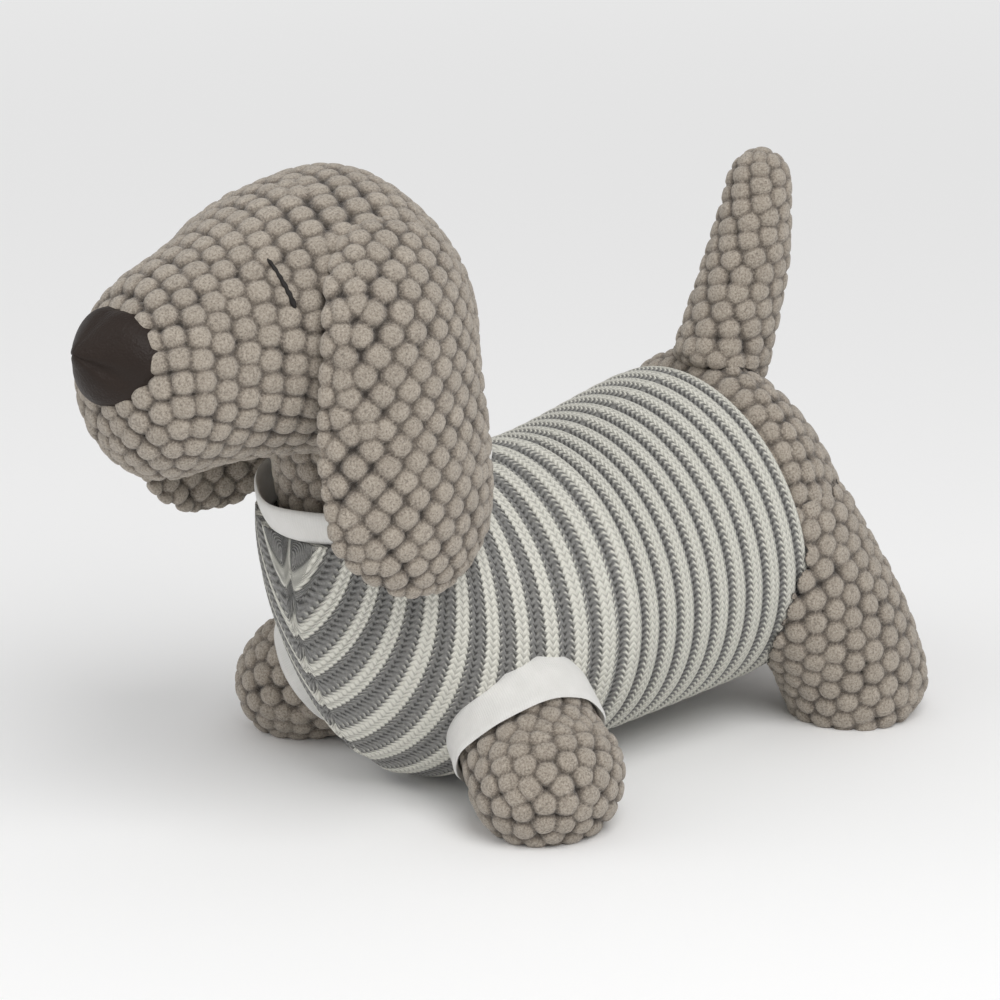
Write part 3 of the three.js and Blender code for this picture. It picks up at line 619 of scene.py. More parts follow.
def in_diamonds(form, cloth):
    """Shares and angles of bobbles on both faces of a flap, in slanting rows, and round its rim."""
    pitch, row = spread_of(cloth)
    pitch, row = pitch * EAR_PITCH, row * EAR_ROW
    places = []
    count = round(form.length / row)
    for i in range(-count, count + 1):
        for j in range(-count, count + 1):
            along = (i + j) * row
            across = (i - j) * pitch / 2
            t = along / form.length
            if 0.01 < t < 0.99:
                wide = eased(form.half_width, t) * form.roundness(t)
                if abs(across) < wide - pitch * 0.2:
                    angle = math.acos(across / wide)
                    places.extend([(t, angle), (t, -angle)])
    rim = form.even_shares(pitch * 0.8)
    return np.array(places + [(t, angle) for t in rim for angle in (0.0, math.pi)])


class Bobbles:
    """A field of bobbles on a form, and the relief that it gives to points on its surface."""

    def __init__(self, form, places, cloth, seed):
        self.rng = np.random.default_rng(seed)
        self.centres = form.at(places[:, 0], places[:, 1])
        self.centres += self.rng.normal(0, cloth.scatter * 1000, self.centres.shape)
        self.cloth = cloth

    def near(self, points):
        """The nearest two bobbles of each point, and how far they are."""
        tree = kdtree.KDTree(len(self.centres))
        for k, centre in enumerate(self.centres):
            tree.insert(centre, k)
        tree.balance()
        found = [tree.find_n(p, 2) for p in points]
        index, away = (np.array([[hit[k] for hit in two] for two in found]) for k in (1, 2))
        return index, away

    def fill(self, points):
        """Adds bobbles where a stretch of the surface has none near."""
        away = self.near(points)[1][:, 0]
        while away.max() > self.cloth.reach * 1000 * FILL_REACH:
            added = points[away.argmax()]
            self.centres = np.vstack([self.centres, added])
            away = np.minimum(away, np.linalg.norm(points - added, axis=1))

    def fields(self, points):
        """Height share from pit to top, and tint, of the bobble that each point is on."""
        index, away = self.near(points)
        size = 1 + self.rng.normal(0, SIZE_SPREAD, len(self.centres))
        tint = self.rng.random(len(self.centres))
        nearest = index[:, 0]
        reach = self.cloth.reach * 1000 * size[nearest]
        dome = np.clip(1 - (away[:, 0] / reach) ** self.cloth.swell, 0, 1) ** FULLNESS
        crease = (away[:, 1] - away[:, 0]) / (self.cloth.crease * 1000)
        crease = np.clip(crease, 0, 1) ** FULLNESS
        return dome * (CREASE_FLOOR + (1 - CREASE_FLOOR) * crease), tint[nearest]


# Meshes

def grid_faces(rings, segments, closed):
    """Four-sided faces of a grid of rings, and its two fans of triangles where it has poles."""
    rows = np.arange(rings if closed else rings - 1)
    i, j = np.meshgrid(rows, np.arange(segments), indexing="ij")
    i, j = i.ravel(), j.ravel()
    below, above, right = i * segments, (i + 1) % rings * segments, (j + 1) % segments
    quads = np.stack([below + j, below + right, above + right, above + j], axis=1).tolist()
    if closed:
        return quads
    start, end = rings * segments, rings * segments + 1
    last = (rings - 1) * segments
    ring = range(segments)
    fans = [(start, (k + 1) % segments, k) for k in ring]
    fans += [(last + k, last + (k + 1) % segments, end) for k in ring]
    return quads + fans


def make_piece(name, points, faces):
    """A mesh object of points in the hound's millimetres."""
    mesh = bpy.data.meshes.new(name)
    mesh.from_pydata(to_frame(points).tolist(), [], faces)
    mesh.update()
    piece = bpy.data.objects.new(name, mesh)
    bpy.context.collection.objects.link(piece)
    return piece


def give_field(piece, name, values):
    """A number for each vertex, which the material reads by its name."""
    field = piece.data.attributes.new(name, "FLOAT", "POINT")
    field.data.foreach_set("value", np.asarray(values, dtype=np.float32))


def read(items, key, kind=np.int32, width=1):
    """One value, or a few, of every item of a mesh in a single row."""
    values = np.empty(len(items) * width, dtype=kind)
    items.foreach_get(key, values)
    return values


def points_of(piece):
    """A piece's vertices in the hound's millimetres."""
    flat = read(piece.data.vertices, "co", np.float32, 3)
    return flat.reshape(-1, 3).astype(float) * 1000 + np.array([SHIFT, 0, 0])


def mirrored_points(points, side):
    return points * np.array([1, side, 1])


def mirrored_faces(faces, side):
    return faces if side > 0 else [tuple(reversed(f)) for f in faces]


def skin(form, spacing, out=0.0, start=0.0, end=1.0):
    """Base points, normals and faces of a form's closed skin, moved out by some distance."""
    shares = form.even_shares(spacing, start, end)
    middle = form.even_shares(spacing)[1:-1]
    around = max(form.girth(t)[1][-1] for t in middle[:: max(1, len(middle) // 12)])
    segments = round(around / spacing)
    a = even_turn(segments)
    inner = shares[1:-1]
    t = np.r_[np.repeat(inner, segments), shares[0], shares[-1]]
    angle = np.r_[np.tile(a, len(inner)), 0.0, 0.0]
    points = form.point(t, angle)
    normals = form.normal(t, angle)
    for pole, side in ((-2, 0), (-1, -1)):
        ring = form.point(np.full(8, inner[side]), np.arange(8) * math.pi / 4).mean(axis=0)
        opposite = form.point(np.full(8, shares[side]), np.arange(8) * math.pi / 4).mean(axis=0)
        points[pole] = opposite
        normals[pole] = (opposite - ring) / np.linalg.norm(opposite - ring)
    return form.grounded(points + normals * out), normals, grid_faces(len(inner), segments, False)


def carve(piece, *cutters):
    """Takes the cutters away from a piece, and deletes them."""
    for cutter in cutters:
        step = piece.modifiers.new("carve", "BOOLEAN")
        step.operation = "DIFFERENCE"
        step.solver = "MANIFOLD"
        step.object = cutter
    whole = piece.evaluated_get(bpy.context.evaluated_depsgraph_get())
    carved = bpy.data.meshes.new_from_object(whole)
    piece.modifiers.clear()
    rough, piece.data = piece.data, carved
    carved.name = piece.name
    bpy.data.meshes.remove(rough)
    for cutter in set(cutters):
        bpy.data.objects.remove(cutter)
    if not len(carved.polygons):
        raise RuntimeError(f"nothing is left of {piece.name}")


def plain_skin(name, form, out, place=in_place, side=1, spacing=ROOM_GRAIN, **span):
    """A smooth closed skin of a form, to carve with."""
    points, _, faces = skin(form, spacing, out, **span)
    return make_piece(name, mirrored_points(place(points), side), mirrored_faces(faces, side))


def above_neckline(lift):
    """Everything above the neckline, as a slab to carve with."""
    size = 2 * (PROW_X - DIP_X)
    corners = np.array([[x, y, z] for x in (-1, 1) for y in (-1, 1) for z in (0, 2)]) * size / 2
    corners[:, 2] += lift
    tilt = math.degrees(math.atan(NECKLINE_RISE))
    faces = [(0, 1, 3, 2), (4, 6, 7, 5), (0, 4, 5, 1), (2, 3, 7, 6), (0, 2, 6, 4), (1, 5, 7, 3)]
    return make_piece("neckline", turned(corners, tilt, (PROW_X, 0, NECKLINE_FRONT)), faces)


def finish_piece(piece, node, material, smooth=True):
    """Gives a piece its finish, and lets it stand for its node on the part's one body."""
    piece.data.materials.clear()
    piece.data.materials.append(material)
    piece.data.shade_smooth() if smooth else piece.data.shade_flat()
    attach(piece, BODY)
    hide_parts(node)
    return piece


def plush_points(form, bobbles, cloth, out=0.0, spacing=None, place=in_place, bare=None):
    """Points, faces and fields of a form covered in bobbles."""
    base, normals, faces = skin(form, spacing or cloth.grain * 1000)
    bobbles.fill(base if bare is None else base[bare(base) > 0])
    height, tint = bobbles.fields(base)
    relief = cloth.relief * 1000
    rise = (height - BASE_LEVEL) * relief
    if bare is not None:
        rise = rise * bare(base)
    points = form.grounded(base + normals * (rise + out)[:, None])
    return place(points), faces, height, tint


def plush_piece(name, points, faces, height, tint, side=1):
    piece = make_piece(name, mirrored_points(points, side), mirrored_faces(faces, side))
    give_field(piece, "pile", height)
    give_field(piece, "tint", tint)
    return piece


def finish_plush(piece, node, cloth):
    """Gives a stuffed piece its plush."""
    finish_piece(piece, node, bobble_plush(cloth))


def plush_pieces(cloth, form, places, seed, nodes, fill, rooms=(), **laid):
    """A stuffed piece, or a mirrored pair of them, with room carved for its neighbours."""
    made = plush_points(form, Bobbles(form, places, cloth, seed), cloth, **laid)
    for side, node in zip((1, -1), nodes):
        piece = plush_piece(f"{node}_plush", *made, side)
        if rooms:
            carve(piece, *(room() for room in rooms))
        finish_plush(piece, node, cloth)


def head_room(out, spacing=ROOM_GRAIN):
    return plain_skin("head_room", head_form, out, on_head, spacing=spacing)


def trunk_room():
    return plain_skin("trunk_room", trunk_form, -JUMPER_THICKNESS)


# Materials

class Value:
    """One output of a node, which takes part in sums as a number does."""

    def __init__(self, look, made, output=0):
        self.look = look
        self.made = made
        self.socket = made.outputs[output] if made.outputs else None

    def _sum(self, operation, first, second=None, **settings):
        sockets = {0: first} if second is None else {0: first, 1: second}
        return self.look.node("Math", {"operation": operation, **settings}, sockets)

    def __add__(self, other):
        return self._sum("ADD", self, other)

    def __radd__(self, other):
        return self._sum("ADD", other, self)

    def __sub__(self, other):
        return self._sum("SUBTRACT", self, other)

    def __rsub__(self, other):
        return self._sum("SUBTRACT", other, self)

    def __mul__(self, other):
        return self._sum("MULTIPLY", self, other)

    def __rmul__(self, other):
        return self._sum("MULTIPLY", other, self)

    def __truediv__(self, other):
        return self._sum("DIVIDE", self, other)

    def wave(self):
        """A triangle wave of period 1: 0 at whole numbers and 1 half way between."""
        return self._sum("PINGPONG", self, 0.5) * 2

    def clipped(self):
        return self._sum("ADD", self, 0.0, use_clamp=True)

    def step(self, edge, soft):
        """0 below an edge and 1 above it, over a soft stretch."""
        return ((self - (edge - soft)) / (2 * soft)).clipped()


class Nodes:
    """A tree of nodes, emptied first, with one way to add to it."""

    def __init__(self, tree):
        self.tree = tree
        tree.nodes.clear()

    def node(self, kind, settings=None, sockets=None, output=0):
        """Adds a node: its settings first, then the values or links of its sockets."""
        made = self.tree.nodes.new("ShaderNode" + kind)
        for key, value in (settings or {}).items():
            setattr(made, key, value)
        for key, value in (sockets or {}).items():
            if isinstance(value, Value):
                self.tree.links.new(value.socket, made.inputs[key])
            else:
                made.inputs[key].default_value = value
        return Value(self, made, output)


class Look(Nodes):
    """The nodes of one material: a plain shader, until more is fed to it."""

    def __init__(self, name, color, roughness, constants=None):
        self.material = bpy.data.materials.new(name)
        self.material.use_nodes = True
        self.material.diffuse_color = (*color, 1)
        super().__init__(self.material.node_tree)
        plain = {"Base Color": (*color, 1), "Roughness": roughness}
        self.shader = self.node("BsdfPrincipled", {}, {**plain, **(constants or {})})
        self.output = self.node("OutputMaterial", {}, {"Surface": self.shader})

    def field(self, name):
        return self.node("Attribute", {"attribute_name": name}, output=2)

    def place(self):
        return self.node("TexCoord", output=3)

    def stitches(self):
        """A point's count over the cloth: across the band or rib, and along it."""
        return self.parts(self.node("UVMap", {"uv_map": "stitches"}))

    def parts(self, vector):
        """The first two numbers of a vector."""
        return (self.node("SeparateXYZ", {}, {"Vector": vector}, output=k) for k in (0, 1))

    def noise(self, scale, detail=2.0, roughness=0.5):
        sockets = {"Scale": scale, "Detail": detail, "Roughness": roughness}
        return self.node("TexNoise", {}, {**sockets, "Vector": self.place()})

    def mix(self, share, first, second):
        first, second = (c if isinstance(c, Value) else (*c, 1) for c in (first, second))
        return self.node("Mix", {"data_type": "RGBA"}, {0: share, 6: first, 7: second}, output=2)

    def bump(self, height, depth, strength=1.0, under=None):
        sockets = {"Height": height, "Distance": depth, "Strength": strength}
        if under:
            sockets["Normal"] = under
        return self.node("Bump", {}, sockets)

    def feed(self, **sockets):
        for key, value in sockets.items():
            socket = self.shader.made.inputs[key.replace("_", " ").title()]
            self.tree.links.new(value.socket, socket)
        return self.material


def cached(maker):
    """Makes a material once and hands out the same one again."""
    made = {}

    def get(*args):
        if maker.__name__ not in made:
            made[maker.__name__] = maker(*args)
        return made[maker.__name__]

    return get


@cached
def bobble_plush(cloth):
    """Chenille bobbles: pale speckled tops lightened by a painted highlight, and painted shade in
    the pits between them.
    """
    sheen = {"Sheen Weight": 0.25, "Sheen Roughness": 0.6}
    look = Look("bobble plush", cloth.lit_top_color, 0.95, sheen)
    pile = look.field("pile")
    tint = look.field("tint")
    speckle = look.noise(1300, 3.0, 0.65)
    shade = look.noise(110, 2.0)
    # Painted shade: points low between the bobbles are darkened towards the pit colour by their
    # height.
    body = look.mix(pile.step(0.4, 0.25), cloth.pit_shade_and_dark_fleck_color, cloth.body_color)
    # Painted highlight: the tops of the bobbles are painted lighter than their sides.
    highlit_crown = look.mix(pile.step(0.72, 0.14), body, cloth.lit_top_color)
    flecks = look.mix(speckle.step(0.58, 0.06) * pile * 0.5, highlit_crown, cloth.fleck_color)
    dark = look.mix((1 - speckle).step(0.58, 0.06) * 0.45, flecks, cloth.pit_shade_and_dark_fleck_color)
    worn = look.mix((tint * 0.5 + shade * 0.5).step(0.5, 0.4) * 0.16, dark, cloth.pit_shade_and_dark_fleck_color)
    fuzz = look.noise(1500, 3.0, 0.65)
    return look.feed(base_color=worn, normal=look.bump(fuzz + speckle, 0.0008, 0.8))


@cached
def rib_knit(knit):
    """Stripes in ribs: pale raised courses, grey ones between, and a zigzag edge of stitches, with
    painted shade between the stitches and in the holes.
    """
    sheen = {"Sheen Weight": 0.15, "Sheen Roughness": 0.6}
    look = Look("rib knit", knit.pale_color, 0.9, sheen)
    rib, wale = look.stitches()
    width = look.field("pale_width")
    valley = rib.wave()
    zigzag = wale.wave()
    jitter = look.noise(260, 1.0) - 0.5
    grey = (valley + (zigzag - 0.5) * 0.24 + jitter * 0.1 - width).step(0.0, 0.1)
    column = (rib * 4).wave()
    chain = (wale + column * 0.7).wave()
    hole = (1 - chain) * (1 - column)
    pale = look.mix(chain.step(0.2, 0.3), knit.pale_shade, knit.pale_color)
    heather = look.noise(800, 2.0).step(0.5, 0.15)
    dark = look.mix(chain * 0.5 + heather * 0.5, knit.grey_shade, knit.grey_color)
    cloth = look.mix(grey, pale, dark)
    sunk = (valley - width).step(-0.12, 0.08)
    # Painted shade: the holes between the stitches are darkened, most deeply in the sunk grey
    # grooves.
    hole_shaded = look.mix(hole.step(0.42, 0.16) * (0.15 + sunk * 0.75), cloth, knit.hole_shade_color)
    speckled = look.mix(look.noise(900, 2.0).step(0.6, 0.1) * 0.2, hole_shaded, knit.pale_shade)
    fine = look.noise(1400, 2.0) * 0.4
    return look.feed(base_color=speckled, normal=look.bump(chain - hole + fine, 0.0006, 0.8))


@cached
def white_jersey(jersey):
    """Smooth white jersey with a very fine rib, a little grey from painted shade in soft patches and
    between its loops.
    """
    sheen = {"Sheen Weight": 0.15, "Sheen Roughness": 0.5}
    look = Look("white jersey", jersey.color, 0.85, sheen)
    across, wale = look.stitches()
    loops = wale.wave() * (0.6 + across.wave() * 0.4)
    soft = look.noise(140, 2.0)
    # Painted shade: soft grey patches, and grey between the loops of the rib.
    colour = look.mix(soft.step(0.45, 0.25) * 0.5, jersey.color, jersey.shade_color)
    colour = look.mix((1 - loops).step(0.75, 0.2) * 0.25, colour, jersey.shade_color)
    folds = look.bump(look.noise(90, 2.0), 0.0016, 0.5)
    return look.feed(base_color=colour, normal=look.bump(loops, 0.00018, 0.6, folds))


@cached
def nose_leather(leather):
    """Dark soft leather with a fine grain, a little worn in patches."""
    look = Look("nose leather", leather.color, 0.5, {"Specular IOR Level": 0.22})
    grain = look.node("TexVoronoi", {"feature": "F1"}, {"Scale": 1300.0, "Vector": look.place()})
    creases = look.noise(160, 3.0, 0.6)
    patchy = look.noise(60, 2.0)
    colour = look.mix(patchy.step(0.5, 0.3) * 0.6, leather.color, leather.worn_color)
    rough = patchy * 0.2 + 0.42
    soft = look.bump(creases, 0.0012, 0.6)
    grained = look.bump(grain, 0.00025, 0.6, soft)
    return look.feed(base_color=colour, roughness=rough, normal=grained)


@cached
def dark_thread(leather):
    """Dark twisted thread."""
    look = Look("dark thread", leather.thread_color, 0.7)
    fibre = look.noise(2500, 2.0, 0.6)
    colour = look.mix(fibre.step(0.55, 0.2) * 0.4, leather.thread_color, leather.color)
    return look.feed(base_color=colour, normal=look.bump(fibre, 0.0002, 0.6))


@cached
def pouch_cotton(jersey):
    """Plain woven cotton of the sand pouch."""
    look = Look("pouch cotton", jersey.cotton_color, 0.9)
    x, y = (part * 900 for part in look.parts(look.place()))
    weave = x.wave() * 0.5 + (y + 0.5).wave() * 0.5
    colour = look.mix(weave * 0.3, jersey.cotton_color, jersey.shade_color)
    return look.feed(base_color=colour, normal=look.bump(weave, 0.0003, 0.6))


@cached
def pale_floor(stage):
    """A pale floor that fades into the backdrop some way off."""
    look = Look("pale floor", stage.floor_color, 0.9)
    cloudy = look.noise(2.0, 2.0)
    colour = look.mix(cloudy * 0.08, stage.floor_color, stage.floor_shade)
    far = look.node("VectorMath", {"operation": "LENGTH"}, {0: look.place()}, output=1)
    seen = look.node("LightPath")
    backdrop = look.node("Emission", {}, {"Color": (*stage.backdrop_color, 1)})
    hidden = seen * far.step(FADE_MIDDLE, FADE_HALF)
    faded = look.node("MixShader", {}, {0: hidden, 1: look.shader, 2: backdrop})
    look.tree.links.new(faded.socket, look.output.made.inputs["Surface"])
    return look.feed(base_color=colour)


# Sizes and colours that a user would change

def number(name, description, default, **more):
    return bpy.props.FloatProperty(
        name=name, description=description, default=default, min=0, **more
    )


def length(name, description, millimetres):
    return number(name, description, millimetres / 1000, unit="LENGTH", precision=5)


def colour(name, description, *default):
    return bpy.props.FloatVectorProperty(
        name=name, description=description, default=default, min=0, max=1, size=3, subtype="COLOR"
    )


class PlushCloth(bpy.types.PropertyGroup):
    """Bobble plush of the hound."""

    pitch: length("Pitch", "Distance between bobbles along a row", 9.0)
    row: length("Row", "Distance between rows of bobbles", 7.3)
    relief: length("Relief", "Height of a bobble over the pits", 3.1)
    reach: length("Reach", "Radius at which a bobble sinks into the pits", 5.5)
    crease: length("Crease", "Width of the crease between two bobbles", 2.6)
    swell: number("Swell", "Fullness of a bobble: 2 gives a dome, and more gives a flatter top", 2.8)
    scatter: length("Scatter", "How far bobbles stray from their places", 0.35)
    grain: length("Grain", "Distance between the points of the mesh", 1.05)
    # Tops: a painted highlight, lighter than the sides of the bobbles.
    lit_top_color: colour("Tops", "Colour of the tops of the bobbles", 0.42, 0.362, 0.295)
    body_color: colour("Sides", "Colour of the sides of the bobbles", 0.235, 0.195, 0.154)
    # Pits: painted shade between the bobbles; the same colour also makes the dark flecks and the
    # darker random patches.
    pit_shade_and_dark_fleck_color: colour("Pits", "Colour between the bobbles", 0.045, 0.034, 0.025)
    fleck_color: colour("Flecks", "Colour of the pale flecks", 0.68, 0.61, 0.52)


class KnitCloth(bpy.types.PropertyGroup):
    """Ribbed knit of the jumper."""

    rib_height: length("Rib height", "Height of a rib over the groove", 2.2)
    stitch: length("Stitch", "Distance between stitches along a rib", 2.5)
    rear_pale: number("Pale share, rear", "Share of the stripe that is pale at the rear", 0.66)
    chest_pale: number("Pale share, chest", "Share of the stripe that is pale on the chest", 0.51)
    pale_color: colour("Pale", "Colour of the pale yarn", 0.8, 0.785, 0.705)
    pale_shade: colour("Pale shade", "Pale yarn between its stitches", 0.52, 0.507, 0.445)
    grey_color: colour("Grey", "Colour of the grey yarn", 0.265, 0.262, 0.252)
    grey_shade: colour("Grey shade", "Grey yarn between its stitches", 0.145, 0.142, 0.135)
    # Holes: painted shade down between the stitches.
    hole_shade_color: colour("Holes", "Colour down between the stitches", 0.03, 0.029, 0.027)


class JerseyCloth(bpy.types.PropertyGroup):
    """White jersey of the collar and cuffs, and the cotton of the pouch."""

    wave: length("Wave", "How far the bands wave", 0.7)
    color: colour("White", "Colour of the jersey", 0.8, 0.79, 0.765)
    shade_color: colour("Shade", "Jersey in its folds", 0.66, 0.65, 0.62)
    cotton_color: colour("Cotton", "Colour of the sand pouch", 0.58, 0.54, 0.46)


class LeatherTrim(bpy.types.PropertyGroup):
    """Leather of the nose and thread of the eyes."""

    pinch: length("Pinch", "Depth of the folds in the nose", 2.2)
    color: colour("Leather", "Colour of the nose", 0.019, 0.012, 0.009)
    worn_color: colour("Worn", "Leather where it is worn", 0.034, 0.023, 0.018)
    thread_color: colour("Thread", "Colour of the eye stitches", 0.008, 0.006, 0.005)


class StageSettings(bpy.types.PropertyGroup):
    """Floor, light and camera."""

    floor_color: colour("Floor", "Colour of the floor", 0.97, 0.97, 0.97)
    floor_shade: colour("Floor shade", "Colour of its faint clouds", 0.94, 0.94, 0.94)
    backdrop_color: colour("Backdrop", "Colour behind the hound", 0.9, 0.9, 0.9)
    sky_color: colour("Sky", "Colour of the light all round", 1.0, 1.0, 1.0)
    sky_strength: number("Sky strength", "Strength of the light all round", 0.55)
    key_power: number("Key lamp", "Power of the main lamp", 17.0, unit="POWER")
    fill_power: number("Fill lamp", "Power of the fill lamp", 6.0, unit="POWER")
    focal_length: number("Focal length", "Lens of the camera in mm", 157.0)
    shift: bpy.props.FloatVectorProperty(
        name="Shift", description="Shift of the lens", default=(0.047, 0.0), size=2
    )


# Operators

class HOUND_OT_stage(bpy.types.Operator):
    """Set up the floor, the backdrop, the lamps and the camera"""

    bl_idname = "hound.stage"
    bl_label = "Stage"

    def execute(self, context):
        settings = context.scene.hound_stage
        self.floor(settings)
        self.sky(context, settings)
        self.lamps(context, settings)
        self.camera(context, settings)
        context.scene.view_settings.view_transform = "Standard"
        return {"FINISHED"}

    def floor(self, settings):
        """A flat floor, wide enough for every view."""
        signs = ((-1, -1), (1, -1), (1, 1), (-1, 1))
        corners = [(x * FLOOR_HALF, y * FLOOR_HALF, 0) for x, y in signs]
        mesh = bpy.data.meshes.new("floor")
        mesh.from_pydata(corners, [], [(0, 1, 2, 3)])
        floor = bpy.data.objects.new("floor", mesh)
        bpy.context.collection.objects.link(floor)
        mesh.materials.append(pale_floor(settings))

    def sky(self, context, settings):
        """Even pale light from all round, and white to the camera."""
        world = bpy.data.worlds.new("sky")
        world.use_nodes = True
        nodes = Nodes(world.node_tree)
        shown = {"Color": (*settings.backdrop_color, 1)}
        lit = {"Color": (*settings.sky_color, 1), "Strength": settings.sky_strength}
        either = {
            0: nodes.node("LightPath"),
            1: nodes.node("Background", {}, lit),
            2: nodes.node("Background", {}, shown),
        }
        nodes.node("OutputWorld", {}, {"Surface": nodes.node("MixShader", {}, either)})
        context.scene.world = world

    def lamps(self, context, settings):
        """A large soft lamp high in front of the hound and a fill beside its rump."""
        for name, power, size, azimuth, elevation, distance in (
            ("key lamp", settings.key_power, 1.3, 165, 52, 1.8),
            ("fill lamp", settings.fill_power, 1.6, 60, 35, 2.0),
        ):
            data = bpy.data.lights.new(name, "AREA")
            data.shape = "DISK"
            data.size = size
            data.energy = power
            lamp = bpy.data.objects.new(name, data)
            context.collection.objects.link(lamp)
            self.aim(lamp, azimuth, elevation, distance, Vector(LAMP_TARGET))

    def camera(self, context, settings):
        data = bpy.data.cameras.new("camera")
        data.lens = settings.focal_length
        data.sensor_width = 36
        data.shift_x, data.shift_y = settings.shift
        camera = bpy.data.objects.new("camera", data)
        context.collection.objects.link(camera)
        target = Vector(to_frame(np.array(VIEW_TARGET, dtype=float)))
        self.aim(camera, VIEW_AZIMUTH, VIEW_ELEVATION, VIEW_DISTANCE, target)
        context.scene.camera = camera

    def aim(self, item, azimuth, elevation, distance, target):
        """Puts a lamp or camera at some angles from a target, and turns it there."""
        a, e = math.radians(azimuth), math.radians(elevation)
        back = Vector((math.sin(a) * math.cos(e), -math.cos(a) * math.cos(e), math.sin(e)))
        item.location = target + back * distance
        item.rotation_euler = back.to_track_quat("Z", "Y").to_euler()


class HOUND_OT_head(bpy.types.Operator):
    """Make the head in rows of bobbles that run from the nose to the ears"""

    bl_idname = "hound.head"
    bl_label = "Head"

    def execute(self, context):
        cloth = context.scene.hound_plush
        places = in_rows(head_form, cloth, HEAD_ROW_LEAN)
        plush_pieces(cloth, head_form, places, 1, ["head"], 0.9, place=on_head)
        return {"FINISHED"}


class HOUND_OT_ears(bpy.types.Operator):
    """Make the two hanging ears, whose rows of bobbles run slantwise"""

    bl_idname = "hound.ears"
    bl_label = "Ears"

    def execute(self, context):
        cloth = context.scene.hound_plush
        bedded = -cloth.relief * 1000 * EAR_BEDDING
        plush_pieces(
            cloth, ear_form, in_diamonds(ear_form, cloth), 2, ["ear_left", "ear_right"], 0.4,
            rooms=[lambda: head_room(bedded)], place=on_head, spacing=EAR_GRAIN,
        )
        return {"FINISHED"}


class HOUND_OT_trunk(bpy.types.Operator):
    """Make the rump and the neck, with a smooth trunk under the jumper"""

    bl_idname = "hound.trunk"
    bl_label = "Trunk"

    def execute(self, context):
        cloth = context.scene.hound_plush
        under = -JUMPER_THICKNESS - LAYER_GAP
        places = in_rounds(trunk_form, cloth)
        behind = places[places[:, 0] < hem_share + 0.03]
        bobbles = Bobbles(trunk_form, behind, cloth, seed=3)
        rump = plush_piece("trunk_plush", *plush_points(
            trunk_form, bobbles, cloth, out=under, bare=self.behind_hem, spacing=TRUNK_GRAIN
        ))
        carve(rump, above_neckline(under))
        bobbles = Bobbles(neck_form, in_rounds(neck_form, cloth), cloth, seed=4)
        neck = plush_piece("neck_plush", *plush_points(neck_form, bobbles, cloth))
        carve(neck, head_room(SEAT_GAP))
        for piece in (rump, neck):
            finish_plush(piece, "trunk", cloth)
        return {"FINISHED"}

    def behind_hem(self, points):
        """1 behind the hem and 0 under the jumper."""
        return np.clip((HEM_X - 2 - trunk_form.slice_of(points)[0]) / 3, 0, 1)


class HOUND_OT_tail(bpy.types.Operator):
    """Make the upright tail in rounds of bobbles"""

    bl_idname = "hound.tail"
    bl_label = "Tail"

    def execute(self, context):
        cloth = context.scene.hound_plush
        plush_pieces(
            cloth, tail_form, in_rounds(tail_form, cloth, TAIL_CLIMB), 5, ["tail"], 0.8,
            rooms=[trunk_room], place=on_tail, spacing=TAIL_GRAIN,
        )
        return {"FINISHED"}


class HOUND_OT_forelegs(bpy.types.Operator):
    """Make the two forelegs, stubs that rest their paws on the floor"""

    bl_idname = "hound.forelegs"
    bl_label = "Forelegs"

    def execute(self, context):
        cloth = context.scene.hound_plush
        plush_pieces(
            cloth, fore_form, in_rounds(fore_form, cloth), 6,
            ["foreleg_left", "foreleg_right"], 0.8,
            rooms=[trunk_room], spacing=FORE_GRAIN,
        )
        return {"FINISHED"}


class HOUND_OT_hind_legs(bpy.types.Operator):
    """Make the two haunches with their paws"""

    bl_idname = "hound.hind_legs"
    bl_label = "Hind legs"

    def execute(self, context):
        cloth = context.scene.hound_plush
        proud = context.scene.hound_knit.rib_height * 1000 + SEAT_GAP
        start = hem_share - 0.012
        plush_pieces(
            cloth, hind_form, in_rounds(hind_form, cloth), 7,
            ["hind_leg_left", "hind_leg_right"], 0.8,
            rooms=[trunk_room, lambda: plain_skin("jumper_room", trunk_form, proud, start=start)],
            spacing=HIND_GRAIN,
        )
        return {"FINISHED"}


class HOUND_OT_nose(bpy.types.Operator):
    """Make the leather nose, drawn to a point and pinched into folds"""

    bl_idname = "hound.nose"
    bl_label = "Nose"

    def execute(self, context):
        trim = context.scene.hound_trim
        base, normals, faces = skin(nose_form, NOSE_GRAIN)
        tip = nose_form.spine.point(np.array(1.0))
        away = base - tip
        angle = np.arctan2(away[:, 2], away[:, 1])
        far = np.linalg.norm(away[:, 1:], axis=1) / NOSE_RADIUS
        folds = 0
        for at, width, deep in NOSE_FOLDS:
            turned_by = (angle - at + math.pi) % (2 * math.pi) - math.pi
            folds = folds + np.exp(-(turned_by**2) / width**2) * deep
        sunk = trim.pinch * 1000 * folds * np.clip(far * 1.6, 0, 1) * np.clip(1.5 - far, 0, 1)
        points = on_head(base - normals * sunk[:, None])
        piece = make_piece("nose_cap", points, faces)
        carve(piece, head_room(-NOSE_BEDDING, NOSE_ROOM_GRAIN))
        finish_piece(piece, "nose", nose_leather(trim))
        return {"FINISHED"}


